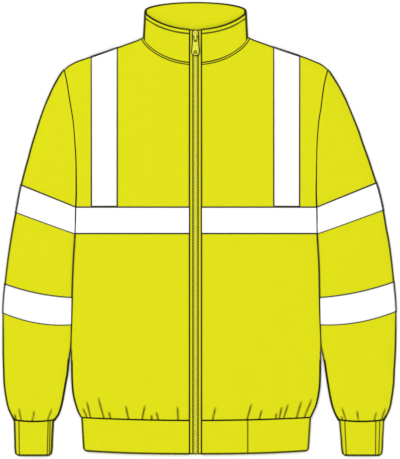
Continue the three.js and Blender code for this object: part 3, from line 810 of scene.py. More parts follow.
def cloth_material(name, pitch, weave_depth, rib_pitch=None):
    """Fluorescent woven polyester: crossing threads and faint unevenness of dye, with painted shade
    darkening creases, seams and folded edges.
    """
    material, nodes, links, shader = new_material(name)
    grain = pitch_grain(nodes, links, pitch)
    warp = threads(nodes, links, grain, "X")
    weft = threads(nodes, links, grain, "Y")
    weave = math_node(nodes, links, "MULTIPLY", warp, weft)
    broad = noise(nodes, links, scaled_grain(nodes, links, (1, 1, 1)), 26.0, 4.0, 0.6)
    fuzz = noise(nodes, links, scaled_grain(nodes, links, (1, 1, 1)), 2600.0, 2.0, 0.6)
    tone = math_node(nodes, links, "MULTIPLY_ADD", weave, 0.35)
    tone.node.inputs[2].default_value = 0.55
    tone = math_node(nodes, links, "ADD", tone, math_node(nodes, links, "MULTIPLY", broad, 0.22))
    colour = ramp(nodes, links, tone, ((0.40, YELLOW_DEEP), (0.74, YELLOW)))
    # Painted shade: the colour goes to near black where the shade attribute is set
    colour = blend_colour(nodes, links, shade_value(nodes), colour, SHADE_YELLOW)
    links.new(colour, shader.inputs["Base Color"])
    rough = math_node(nodes, links, "MULTIPLY_ADD", broad, 0.18)
    rough.node.inputs[2].default_value = 0.62
    links.new(rough, shader.inputs["Roughness"])
    normal = bump(nodes, links, fuzz, 0.00008, 0.35)
    normal = bump(nodes, links, weave, weave_depth, 0.55, normal)
    if rib_pitch is not None:
        ribs = threads(nodes, links, pitch_grain(nodes, links, rib_pitch), "X")
        normal = bump(nodes, links, ribs, 0.0004, 0.45, normal)
    links.new(normal, shader.inputs["Normal"])
    shader.inputs["Sheen Weight"].default_value = 0.06
    shader.inputs["Sheen Tint"].default_value = (0.9, 0.9, 0.1, 1)
    shader.inputs["Sheen Roughness"].default_value = 0.45
    shader.inputs["Specular IOR Level"].default_value = 0.2
    shader.inputs["Specular Tint"].default_value = (0.95, 0.95, 0.25, 1)
    return material


def tape_material():
    """Reflective tape: a skin of glass beads on a silver-white backing."""
    material, nodes, links, shader = new_material("reflective_tape")
    grain = scaled_grain(nodes, links, (1, 1, 1))
    beads = nodes.new("ShaderNodeTexVoronoi")
    beads.inputs["Scale"].default_value = 2200
    links.new(grain, beads.inputs["Vector"])
    cloud = noise(nodes, links, grain, 40.0, 4.0, 0.55)
    colour = ramp(nodes, links, cloud, ((0.30, SILVER_DEEP), (0.62, SILVER)))
    # Painted shade: the tape goes to near black where the shade attribute is set
    colour = blend_colour(nodes, links, shade_value(nodes), colour, SHADE_TAPE)
    links.new(colour, shader.inputs["Base Color"])
    rough = math_node(nodes, links, "MULTIPLY_ADD", cloud, 0.16)
    rough.node.inputs[2].default_value = 0.34
    links.new(rough, shader.inputs["Roughness"])
    normal = bump(nodes, links, beads.outputs["Distance"], 0.00012, 0.30)
    ground = threads(nodes, links, pitch_grain(nodes, links, TAPE_WEAVE_PITCH), "X")
    normal = bump(nodes, links, ground, 0.0001, 0.25, normal)
    links.new(normal, shader.inputs["Normal"])
    shader.inputs["Specular IOR Level"].default_value = 0.25
    shader.inputs["Sheen Weight"].default_value = 0.02
    return material


def thread_material(name, colour):
    material, nodes, links, shader = new_material(name)
    coordinates = nodes.new("ShaderNodeTexCoord")
    fibre = noise(nodes, links, coordinates.outputs["Object"], 3000.0, 2.0, 0.6)
    dark = tuple(channel * 0.72 for channel in colour)
    links.new(ramp(nodes, links, fibre, ((0.3, dark), (0.65, colour))), shader.inputs["Base Color"])
    links.new(bump(nodes, links, fibre, 0.0001, 0.4), shader.inputs["Normal"])
    shader.inputs["Roughness"].default_value = 0.55
    shader.inputs["Sheen Weight"].default_value = 0.2
    return material


def moulded_material(name, colour, roughness, coat, specular):
    """Yellow plastic or painted metal, faintly uneven and a little duller where it is rubbed, with painted
    shade darkening it where the shade attribute is set.
    """
    material, nodes, links, shader = new_material(name)
    coordinates = nodes.new("ShaderNodeTexCoord")
    cloud = noise(nodes, links, coordinates.outputs["Object"], 260.0, 4.0, 0.6)
    pits = noise(nodes, links, coordinates.outputs["Object"], 2400.0, 2.0, 0.5)
    dark = tuple(channel * 0.82 for channel in colour)
    tint = ramp(nodes, links, cloud, ((0.32, dark), (0.6, colour)))
    # Painted shade from the shade attribute
    tint = blend_colour(nodes, links, shade_value(nodes), tint, SHADE_YELLOW)
    links.new(tint, shader.inputs["Base Color"])
    rough = math_node(nodes, links, "MULTIPLY_ADD", cloud, 0.2)
    rough.node.inputs[2].default_value = roughness
    links.new(rough, shader.inputs["Roughness"])
    links.new(bump(nodes, links, pits, 0.00006, 0.3), shader.inputs["Normal"])
    shader.inputs["Coat Weight"].default_value = coat
    shader.inputs["Coat Roughness"].default_value = 0.2
    shader.inputs["Specular IOR Level"].default_value = specular
    return material


CLOTH = cloth_material("cloth", WEAVE_PITCH, 0.00022)
BAND = cloth_material("elastic_band", WEAVE_PITCH, 0.0002, RIB_PITCH)
ZIP_CLOTH = cloth_material("zip_cloth", ZIP_WEAVE_PITCH, 0.0002)
TAPE = tape_material()
THREAD = thread_material("thread_yellow", THREAD_YELLOW)
TAPE_THREAD = thread_material("thread_silver", THREAD_SILVER)
TEETH = moulded_material("zip_teeth", TEETH_YELLOW, 0.40, 0.04, 0.4)
METAL = moulded_material("zip_metal", METAL_YELLOW, 0.32, 0.12, 0.4)
# The cords of painted shade along the slider's and the tab's edges
EDGE_SHADE_CORD = moulded_material("zip_edge_shade", EDGE_SHADE_BLACK, 0.55, 0.0, 0.15)


# Sewing


stitches = {}


def normals_of(points):
    """Unit normals of a grid of points."""
    along = np.gradient(points, axis=0)
    across = np.gradient(points, axis=1)
    normal = np.cross(across, along)
    length = np.linalg.norm(normal, axis=-1, keepdims=True)
    return normal / np.maximum(length, 1e-9)


def sew(group, points, normals, pitch=STITCH_PITCH):
    """Notes a run of stitches along a line of points with the cloth's normals beside it."""
    stitches.setdefault(group, []).append((np.asarray(points), np.asarray(normals), pitch))


def line_on(points, field, value):
    """The line on a grid of points where a field passes a value, with the normals there:
    one point for each column that has one."""
    normal = normals_of(points)
    if np.mean(normal[..., 2]) < 0:
        normal = -normal
    both = np.concatenate([points, normal], axis=-1)
    crossed = (field[:-1] - value) * (field[1:] - value) <= 0
    columns = np.nonzero(crossed.any(axis=0))[0]
    row = crossed[:, columns].argmax(axis=0)
    first = field[row, columns]
    second = field[row + 1, columns]
    share = (value - first) / np.where(second == first, 1.0, second - first)
    line = mix(both[row, columns], both[row + 1, columns], share[:, None])
    return line[:, :3], line[:, 3:]


# Fronts


def front_lift(name, x, y, top):
    """How far a front's cloth has risen: 0 at its folded edges, 1 where it lies level."""
    side = np.maximum(bulge((body_side(name, y) - x) / FOLD_REACH), seam_lift(y))
    fold = mix(1.0, bulge((top - y) / FOLD_REACH), ease((x - SHOULDER_RISE_X) / FOLD_REACH))
    return np.minimum(side, fold)


def front_top_line(name, x):
    return np.where(x < NECK_HALF, neckline(x) - HALF_SEAM, SHOULDER_LINE[name](x))


def front_surface(name, x, y):
    """Heights of a front's outer and inner side with its creases, and their shade."""
    top = front_top_line(name, x)
    lift = front_lift(name, x, y, top)
    above = y - hem_seam(x)
    creases, shade = gather_relief(WAIST_GATHERS[name], x, above)
    loose = creases + pucker_relief(x, above, seed_for(name, 11)) + 1.3 * bell(above - 17, 15)
    swell = waves(x, y, seed_for(name, 3), 0.45)
    calm = clamp(np.minimum(above, top - y) / 40) * clamp((x - ZIP_OPENING) / FOLD_REACH)
    relief = lift * (loose + swell * calm)
    return mix(EDGE_TOP, CROWN_TOP, lift) + relief, mix(EDGE_UNDER, CROWN_INSIDE, lift) + relief, shade


def panel_xy(name, u, v, start, top_line):
    """Place on a front or half of the back from shares out, from its inner edge at start,
    and up, half a share being the chest tape's top."""
    breadth = body_side(name, ARMHOLE_TOP_Y)
    lower = clamp(v * 2)
    upper = clamp(v * 2 - 1)
    top_y = np.where(u >= 1, ARMHOLE_TOP_Y, top_line(name, mix(start, breadth, u)))
    side_y = np.where(v <= 0.5, mix(HEM_SEAM_Y + HEM_SEAM_RISE, CHEST_TAPE_TOP, lower),
                      mix(CHEST_TAPE_TOP, ARMHOLE_TOP_Y, upper))
    x = mix(start, body_side(name, side_y), u)
    waist = hem_seam(x) + HALF_SEAM
    y = np.where(v <= 0.5, mix(waist, CHEST_TAPE_TOP, lower), mix(CHEST_TAPE_TOP, top_y, upper))
    return x, y


def edge_distances(x, y):
    """Distance of each grid point from the nearest of the grid's four edges, along the cloth."""
    step_x = np.hypot(np.diff(x, axis=1), np.diff(y, axis=1))
    step_y = np.hypot(np.diff(x, axis=0), np.diff(y, axis=0))
    across = np.concatenate([np.zeros((x.shape[0], 1)), np.cumsum(step_x, axis=1)], axis=1)
    up = np.concatenate([np.zeros((1, x.shape[1])), np.cumsum(step_y, axis=0)], axis=0)
    return {"left": across, "right": across[:, -1:] - across, "bottom": up, "top": up[-1:] - up}


def front_shares(name):
    """Shares across and up a front: fine at its edges, past the neck and at the gathers."""
    neck_u = (NECK_HALF - ZIP_OPENING) / (body_side(name, ARMHOLE_TOP_Y) - ZIP_OPENING)
    neck = neck_u * np.sin(np.linspace(0, math.pi / 2, 56))
    past_neck = neck_u + np.arange(1, 15) * 0.5 / PANEL_ACROSS
    fine = np.array(EDGE_STEPS) / PANEL_ACROSS
    beyond = np.linspace(past_neck[-1], 1 - fine[-1], 88)[1:]
    across = np.concatenate([[0], fine, neck[2:], past_neck, beyond, 1 - fine[:-1][::-1], [1]])
    seam = np.array([0, *EDGE_STEPS[:4]])
    up = np.concatenate([
        seam / PANEL_LOWER,
        np.linspace(3, 60, 34) / PANEL_LOWER,
        np.linspace(64, 400, 56) / PANEL_LOWER,
        np.linspace(0.5, 1 - 15 / PANEL_UPPER, 48, endpoint=False),
        1 - np.linspace(15, 2, 28) / PANEL_UPPER,
        1 - seam[::-1] / PANEL_UPPER,
    ])
    return across, up


def front_cloth(name):
    u, v = np.meshgrid(*front_shares(name))
    x, y = panel_xy(name, u, v, ZIP_OPENING, front_top_line)
    top, under, shade = front_surface(name, x, y)
    edge = edge_distances(x, y)
    zip_fold = edge["left"]
    armhole = np.where(y > ARMPIT_Y, edge["right"], NO_SEAM)
    side_fold = np.where(y <= ARMPIT_Y, edge["right"], NO_SEAM)
    neck_gap = edge["top"] * np.where(x < NECK_HALF, 1.8, 1.0)
    roll = seam_dip(nearest(edge["bottom"], edge["top"], armhole)) + 0.7 * (1 - bulge(zip_fold / 1.2))
    side_roll = np.where(y <= ARMPIT_Y, 1.2 * (1 - bulge(edge["right"] / 1.8)), 0)
    from_neck = neck_distance(x, y) - NECK_LINE_DROP
    ledge = 0.5 * (1 - ease(from_neck / 0.8 + 0.5)) - 0.35 * bell(from_neck, 0.7)
    z = top - roll - side_roll + ledge
    shade = darkest(
        shade,
        seam_shade(nearest(edge["bottom"], neck_gap, armhole, zip_fold)),
        line_shade(edge["top"], SHOULDER_LINE_WIDTH) * (x > NECK_HALF),
        line_shade(side_fold, mix(SEAM_LINE, FOLD_LINE, apart(y))),
        line_shade(abs(from_neck), NECK_LINE),
    )
    outer = points_at(SIDES[name] * x, y, z)
    inner = points_at(SIDES[name] * x, y, np.minimum(under, z - 0.4))
    sew("cloth", *line_on(outer, from_neck, -NECK_STITCH_DROP))
    sew("cloth", *line_on(outer.transpose(1, 0, 2), zip_fold.T, ZIP_STITCH_INSET))
    piece = wall(f"front_{name}_cloth", outer, inner, grain_of(x, y), shade)
    dress(piece, f"front_{name}", CLOTH)


for side_name in SIDES:
    front_cloth(side_name)


# Sleeves


LINE_COUNT = len(SLEEVE_LINES["inner"])
LINE_NUMBERS = np.arange(LINE_COUNT, dtype=float)
LINE_CURVES = {column: smooth_curve(LINE_NUMBERS, values) for column, values in SLEEVE_LINES.items()}


def sleeve_ends(name, line):
    """Both ends of a line across a sleeve, and whether the sleeve is closed there."""
    inner_y = LINE_CURVES["inner"](line)
    outer_y = LINE_CURVES[name](line)
    closed = clamp((line - ARMPIT_LINE + 0.6) / 0.6)
    below = INNER_EDGE[name](inner_y) - INNER_SWELL * apart(inner_y)
    edge = np.where(inner_y >= ARMPIT_Y, BODY_EDGE[name](inner_y), below)
    start = edge + mix(HALF_SEAM, SLEEVE_CLEARANCE, closed)
    end = OUTER_EDGE[name](outer_y) + FOLD_SWELL * clamp(line / 2)
    return start, inner_y, end, outer_y, closed


def sleeve_points(name, line, from_start, share, from_end, is_front):
    """Outer and inner points of a sleeve's cloth, and their shade. A point's distance from
    the armhole or inner edge is its share of what lies between its two margins, plus the first."""
    x0, y0, x1, y1, closed = sleeve_ends(name, line)
    width = np.hypot(x1 - x0, y1 - y0)
    distance = from_start + share * (width - from_start - from_end)
    to_end = width - distance
    cuff_rise = CUFF_SAG * np.exp(-(((LINE_COUNT - 1 - line) / 0.9) ** 2)) * is_front

    def place(at):
        part = at / width
        sag = LINE_CURVES["sag"](line) * 4 * part * (1 - part) - cuff_rise * (2 * part - 1) ** 2
        return x0 + (x1 - x0) * part, y0 + (y1 - y0) * part - sag

    x, y = place(distance)
    above = y - SLEEVE_END_Y
    inset = CLOTH_WALL * closed
    inner_x, inner_y = place(inset + distance * (width - inset - CLOTH_WALL) / width)
    if is_front:
        lift = bulge((ARMHOLE_TOP_Y - y0) / FOLD_REACH)
        lowest = SLEEVE_BACK_TOP + 0.3
        roof = mix(EDGE_TOP, CROWN_TOP, lift)
        ceiling = mix(lowest, CROWN_INSIDE, lift)
        rise = np.maximum(bulge(distance / FOLD_REACH), seam_lift(y0) * (y0 > ARMPIT_Y))
        fall = bulge(to_end / FOLD_REACH)
        creases, shade = gather_relief(WRIST_GATHERS[name], x, above, WRIST_CREASE_WIDTH, 1.9)
        loose = creases + pucker_relief(x, above, seed_for(name, 21)) + bell(above - 15, 13)
        swell = waves(x, y, seed_for(name, 5), 0.5) * clamp(above / 40)
        relief = (loose + swell) * np.minimum(rise, fall) * lift
        top = mix(mix(EDGE_TOP, FOLD_TIP, closed), roof, rise)
        top = np.minimum(top, mix(FOLD_TIP, roof, fall)) + relief
        inside = mix(mix(lowest, FOLD_INSIDE, closed), ceiling, rise)
        inside = np.minimum(inside, mix(FOLD_INSIDE, ceiling, fall)) + relief
    else:
        creases, shade = gather_relief(WRIST_GATHERS[name], x, above, WRIST_CREASE_WIDTH, 1.1)
        rounded = np.maximum(1 - bulge(to_end / FOLD_ROUND), (1 - bulge(distance / FOLD_ROUND)) * closed)
        top = mix(CLOTH_UNDER, FOLD_TIP, rounded)
        top = top + np.maximum(-creases, 0) * clamp(distance / 6) * clamp(to_end / 6)
        inside = np.maximum(SLEEVE_BACK_TOP, top + 0.6)
        shade = 0.8 * shade
    outer = points_at(SIDES[name] * x, y, top)
    inner = points_at(SIDES[name] * inner_x, inner_y, inside)
    return outer, inner, np.broadcast_to(shade, outer.shape[:-1]).copy(), closed


FRONT_STEPS = FRONT_INNER_STEPS + 2 * (len(EDGE_STEPS) + 1)


def sleeve_columns(steps, edge):
    """Columns across a sleeve: margins at its start and end, and shares between them."""
    edge = np.array(edge)
    count = len(edge)
    middle = 0.5 - 0.5 * np.cos(np.linspace(0.12, math.pi - 0.12, steps))
    middle = (middle - middle[0]) / (middle[-1] - middle[0])
    last = edge[-1]
    start = np.concatenate([edge, np.full(steps, last + 1.0), np.zeros(count)])
    share = np.concatenate([np.zeros(count), middle, np.ones(count)])
    end = np.concatenate([np.zeros(count), np.full(steps, last + 1.0), edge[::-1]])
    return start, share, end


def sleeve_patch(name, lines):
    """The sleeve's cloth round the arm on the given lines: front, outer fold, underside."""
    parts = []
    for is_front, steps in ((True, FRONT_INNER_STEPS), (False, BACK_INNER_STEPS)):
        edge = (0, *EDGE_STEPS) if is_front else (0, 0.1, *EDGE_STEPS)
        start, share, end = sleeve_columns(steps, edge)
        if not is_front:
            start, share, end = (column[::-1][1:] for column in (start, share, end))
        parts.append(sleeve_points(name, lines[:, None], start, share, end, is_front))
    outer, inner, shade = (np.concatenate(pair, axis=1) for pair in list(zip(*parts))[:3])
    is_back = np.arange(outer.shape[1]) >= FRONT_STEPS
    return outer, inner, shade, is_back, parts[0][3]


def surface_lengths(points):
    """Lengths along both directions of a grid, for the grain of the weave."""
    across = np.linalg.norm(np.diff(points, axis=1), axis=2)
    along = np.linalg.norm(np.diff(points, axis=0), axis=2)
    u = np.concatenate([np.zeros((points.shape[0], 1)), np.cumsum(across, axis=1)], axis=1)
    v = np.concatenate([np.zeros((1, points.shape[1])), np.cumsum(along, axis=0)], axis=0)
    return u, v


def plan_distance(points, line):
    """How far each point of a grid lies, seen from above, from the nearest point of a line."""
    gaps = points[..., None, :2] - line[:, :2]
    return np.sqrt((gaps ** 2).sum(axis=-1).min(axis=-1))


def sleeve_cloth(name):
    lines = np.concatenate([
        [0, 0.03, 0.08, 0.16, 0.26, 0.30],
        np.linspace(0.45, 18, 117),
        np.linspace(18.12, 22.65, 44),
        [22.76, 22.82, 22.87, 22.91, 22.96, 23],
    ])
    outer, inner, shade, is_back, closed = sleeve_patch(name, lines)
    u, v = surface_lengths(outer)
    across, down = surface_lengths(outer * np.array([1, 1, 0]))
    side = np.minimum(across, across[:, -1:] - across)
    seam = nearest(side + 6 * closed, down[-1:] - down, down + 0.2)
    underarm = side + NO_SEAM * (1 - closed)
    roll = seam_dip(seam)
    outer[..., 2] += np.where(is_back[None, :], roll * 0.9, -roll)
    shade = darkest(
        shade,
        seam_shade(seam),
        line_shade(underarm, mix(SEAM_LINE, FOLD_LINE, apart(outer[..., 1]))),
        fold_shade(plan_distance(outer, outer[:, FRONT_STEPS - 1])),
        line_shade(plan_distance(outer, outer[0]), SHOULDER_LINE_WIDTH),
    )
    piece = wall(f"sleeve_{name}_cloth", outer, inner, grain_of(u, v), shade)
    dress(piece, f"sleeve_{name}", CLOTH)


for side_name in SIDES:
    sleeve_cloth(side_name)


# Reflective tape


def tape_shares(width, steps):
    """Shares across a tape, from the backing that shows below its film to that above, with
    fine steps at its edges; the one named by SEWN_ROW is sewn."""
    line = (TAPE_LINE - LINE_BLUR, TAPE_LINE + LINE_BLUR)
    edge = (np.array([0, 0.4, 1.0, *line, TAPE_STITCH_INSET, 5.4]) - TAPE_BACKING) / width
    return np.concatenate([edge, np.linspace(edge[-1], 1 - edge[-1], steps)[1:-1], 1 - edge[::-1]])


def tape_on(name, node, base, sew_group, faces_up=True, fold_column=None, end_line=TAPE_END_LINE):
    """A strip of tape on a grid of cloth points whose first and last rows are its long edges.
    The start of each row faces up or down; a tape round a sleeve is folded at a column."""
    normal = normals_of(base)
    if (np.mean(normal[:, :8, 2]) > 0) != faces_up:
        normal = -normal
    u, v = surface_lengths(base)
    edge = np.minimum(v, v[-1:] - v)
    groove = 0.24 * bell(edge - TAPE_STITCH_INSET, 0.8)
    lift = TAPE_GAP + TAPE_THICK - 0.3 * (1 - bulge(edge / 0.6)) - groove
    outer = base + normal * lift[..., None]
    inner = base + normal * (TAPE_GAP * 0.5)
    outer[..., 2] = np.where(normal[..., 2] < -0.5, np.maximum(outer[..., 2], 0.0), outer[..., 2])
    along, _ = surface_lengths(base * np.array([1, 1, 0]))
    # Painted shade: dark lines along the long edges over the backing and the film's margin, at both ends and
    # at a sleeve tape's fold
    start, end = line_shade(along, TAPE_END_LINE), line_shade(along[:, -1:] - along, end_line)
    shade = darkest(line_shade(edge, TAPE_LINE), start, end)
    if fold_column is not None:
        shade = darkest(shade, fold_shade(abs(along - along[:, fold_column][:, None])))
    dress(wall(name, outer, inner, grain_of(u, v), shade), node, TAPE)
    for row in (SEWN_ROW, -SEWN_ROW - 1):
        sew(sew_group, outer[row], normal[row])


def front_points(name, x, y):
    top, _, _ = front_surface(name, x, y)
    return points_at(SIDES[name] * x, y, top)


def end_shares(steps, length):
    """Even shares along a tape with fine steps at both ends."""
    seam = (TAPE_END_LINE - LINE_BLUR, TAPE_END_LINE + LINE_BLUR)
    fine = np.array([0, 0.6, *seam, *EDGE_STEPS[-3:]]) / length
    inner = np.linspace(EDGE_MARGIN / length, 1 - EDGE_MARGIN / length, steps)
    return np.concatenate([fine, inner, 1 - fine[::-1]])


def chest_xy(start, end, shares):
    """Places on a chest tape between the heights' own start and end lines."""
    across = tape_shares(CHEST_TAPE_TOP - CHEST_TAPE_Y, 9)
    v, u = np.meshgrid(across, shares, indexing="ij")
    y = mix(CHEST_TAPE_Y, CHEST_TAPE_TOP, v)
    return mix(start(y), end(y), u), y


def brace_xy(name, start, shares):
    """Places on a shoulder tape from a height up to the shoulder seam."""
    across = tape_shares(BRACE_OUTER_X - BRACE_INNER_X, 9)
    v, u = np.meshgrid(across, shares, indexing="ij")
    x = mix(BRACE_INNER_X, BRACE_OUTER_X, v)
    return x, mix(start, SHOULDER_LINE[name](x), u)


def chest_tape(name):
    x, y = chest_xy(lambda y: ZIP_OPENING, lambda y: body_side(name, y), end_shares(90, 215))
    tape_on(f"chest_tape_{name}_strip", f"chest_tape_{name}", front_points(name, x, y), "front")


def brace_tape(name):
    x, y = brace_xy(name, CHEST_TAPE_TOP + TAPE_BACKING + TAPE_GAP, end_shares(110, 290))
    strip, node = f"brace_tape_{name}_strip", f"brace_tape_{name}_front"
    tape_on(strip, node, front_points(name, x, y), "front", end_line=FOLD_LINE)


def sleeve_tape(name, level, lines):
    first, last = lines
    numbers = mix(first, last, tape_shares(SLEEVE_TAPE_WIDTH, 9))
    base = sleeve_patch(name, numbers)[0]
    strip, node = f"sleeve_tape_{level}_{name}_strip", f"sleeve_tape_{level}_{name}"
    tape_on(strip, node, base, "sleeve", fold_column=FRONT_STEPS - 1)


for side_name in SIDES:
    chest_tape(side_name)
    brace_tape(side_name)
    sleeve_tape(side_name, "upper", UPPER_TAPE_LINES)
    sleeve_tape(side_name, "lower", LOWER_TAPE_LINES)


# Back


BACK_GATHERS = rows(
    "x top height",
    (-203, -211, 20),
    (-178, -184, 31),
    (-141, -145, 16),
    (-99, -102, 26),
    (-60, -62, 13),
    (-23, -24, 22),
    (17, 18, 17),
    (50, 53, 27),
    (86, 87, 12),
    (119, 123, 24),
    (147, 150, 15),
    (184, 191, 30),
    (206, 214, 18),
)


def back_top_line(name, x):
    return np.where(x < NECK_HALF, NECK_SIDE_Y - HALF_SEAM, SHOULDER_LINE[name](x))


def back_surface(x, y):
    """Height of the back's underside and its shade; x is signed, the wearer's left is positive."""
    above = y - hem_seam(abs(x))
    creases, shade = gather_relief(BACK_GATHERS, x, above)
    swell = np.maximum(waves(x, y, 31, 0.12) + 0.16, 0)
    calm = clamp(above / 30) * clamp((NECK_SIDE_Y - y) / 30)
    return CLOTH_UNDER + np.maximum(-creases, 0) * BACK_CREASE_SHARE + swell * calm, 0.8 * shade


def back_cloth():
    fine = np.array([0.4, 0.9, 1.6]) / PANEL_ACROSS
    out = np.concatenate([np.linspace(0, 1 - 5 / PANEL_ACROSS, 96), 1 - fine[::-1], [1]])
    low = fine * 0.66
    up = np.concatenate([[0], low, np.linspace(0.007, 0.09, 26), np.linspace(0.1, 0.97, 74),
                         np.linspace(0.975, 1 - 3 / 330, 5), 1 - low[::-1], [1]])
    v, u = np.meshgrid(up, out, indexing="ij")
    halves = {name: panel_xy(name, u, v, 0, back_top_line) for name in SIDES}
    x = np.concatenate([-halves["right"][0][:, :0:-1], halves["left"][0]], axis=1)
    y = np.concatenate([halves["right"][1][:, :0:-1], halves["left"][1]], axis=1)
    under, shade = back_surface(x, y)
    seam = nearest(*edge_distances(x, y).values())
    under = under + 0.8 * seam_dip(seam)
    outer = points_at(x, y, under)
    inner = points_at(x, y, np.maximum(BACK_TOP, under + 0.9))
    piece = wall("back_cloth", outer, inner, grain_of(x, y), darkest(shade, seam_shade(seam)))
    dress(piece, "back_panel", CLOTH)


def back_points(x, y):
    return points_at(x, y, back_surface(x, y)[0])


def back_tapes():
    x, y = chest_xy(lambda y: -body_side("right", y), lambda y: body_side("left", y), np.linspace(0, 1, 150))
    tape_on("chest_tape_back_strip", "chest_tape_back", back_points(x, y), "back", faces_up=False)
    for name, sign in SIDES.items():
        x, y = brace_xy(name, CHEST_TAPE_TOP + TAPE_GAP, np.linspace(0, 1, 110))
        strip, node = f"brace_tape_{name}_back_strip", f"brace_tape_{name}_back"
        tape_on(strip, node, back_points(sign * x, y), "back", faces_up=False)


back_cloth()
back_tapes()


# Collar


def collar_place(x, share, is_front):
    """Height up the jacket of a point on the collar, share 0 at the neck seam and 1 at the top edge."""
    level = clamp(abs(x) / COLLAR_HALF)
    round_share = 1 - level ** 2
    front_low = neckline(abs(x) * NECK_HALF / COLLAR_HALF) + HALF_SEAM
    low = np.where(is_front, front_low, NECK_SIDE_Y + 2 * HALF_SEAM)
    front_top = COLLAR_SIDE_TOP - COLLAR_FRONT_DIP * round_share ** 0.75
    high = np.where(is_front, front_top, COLLAR_SIDE_TOP + COLLAR_BACK_RISE * round_share ** 0.45)
    return mix(low, high, share)


def collar_cloth():
    zip_edge = ZIP_OPENING * COLLAR_HALF / NECK_HALF
    fine = np.array([0, *EDGE_STEPS])
    arc = np.linspace(0, math.pi / 2, 50)
    middle_x = mix(zip_edge + EDGE_MARGIN, COLLAR_HALF - EDGE_MARGIN, np.sin(arc))
    front_x = np.concatenate([zip_edge + fine, middle_x, COLLAR_HALF - fine[::-1]])
    back_x = COLLAR_HALF * np.cos(np.linspace(0.16, math.pi - 0.16, 80))
    x = np.concatenate([-front_x, -back_x, front_x[::-1]])
    is_front = np.repeat([True, False, True], [len(front_x), len(back_x), len(front_x)])
    edge = np.array([0, *EDGE_STEPS[:4]]) / COLLAR_HEIGHT
    up = np.concatenate([edge, np.linspace(0.06, 0.80, 20), np.linspace(0.82, 0.95, 22), 1 - edge[::-1]])
    share, place = np.meshgrid(up, x, indexing="ij")
    front = np.broadcast_to(is_front, share.shape)
    y = collar_place(place, share, front)
    lift = bulge((COLLAR_HALF - abs(place)) / COLLAR_FOLD_REACH)
    swell = waves(place, y, 41, 0.25) * lift * clamp(np.minimum(share, 1 - share) * 6)
    top_edge = collar_place(place, 1.0, front) - y
    seam_edge = y - collar_place(place, 0.0, front)
    sewn = top_edge - COLLAR_STITCH_DROP
    zip_side = np.where(front, abs(place) - zip_edge, 50.0)
    relief = swell - 0.55 * bell(sewn, 1.1) + 0.35 * bell(sewn - 3.0, 2.4) + 0.25 * bell(sewn + 3.5, 2.4)
    roll = np.maximum(seam_dip(np.minimum(seam_edge, top_edge * 0.7)), seam_dip(zip_side))
    outer_z = np.where(front, mix(FOLD_TIP, CROWN_TOP, lift) + relief - roll, COLLAR_UNDER + 0.6 * roll)
    front_inside = np.minimum(mix(FOLD_INSIDE, CROWN_INSIDE, lift), outer_z - 0.6)
    back_inside = np.maximum(COLLAR_BACK_INSIDE - 0.8 * roll, outer_z + 0.6)
    inner_z = np.where(front, front_inside, back_inside)
    front_inset = clamp((abs(place) - zip_edge) / (COLLAR_HALF - zip_edge))
    inset = COLLAR_THICK * np.where(front, front_inset, clamp(abs(place) / COLLAR_HALF))
    flare = mix(COLLAR_LOW_HALF, COLLAR_TOP_HALF, share) / COLLAR_HALF
    outer = points_at(place * flare, y, outer_z)
    inner = points_at((place - np.sign(place) * inset) * flare, y, inner_z)
    front_shade = darkest(0.95 * line_shade(abs(sewn), COLLAR_STITCH_LINE), seam_shade(zip_side))
    shade = darkest(seam_shade(seam_edge), np.where(front, front_shade, 0),
                    line_shade(top_edge, COLLAR_TOP_LINE), fold_shade(COLLAR_HALF - abs(place)))
    u, _ = surface_lengths(outer)
    reach = len(front_x) - 2
    for part in (slice(0, reach), slice(len(x) - reach, len(x))):
        sew("cloth", *line_on(outer[:, part], sewn[:, part], 0.0))
    dress(wall("collar_cloth", outer, inner, grain_of(u, y), shade), "collar", CLOTH)


collar_cloth()


# Cuffs


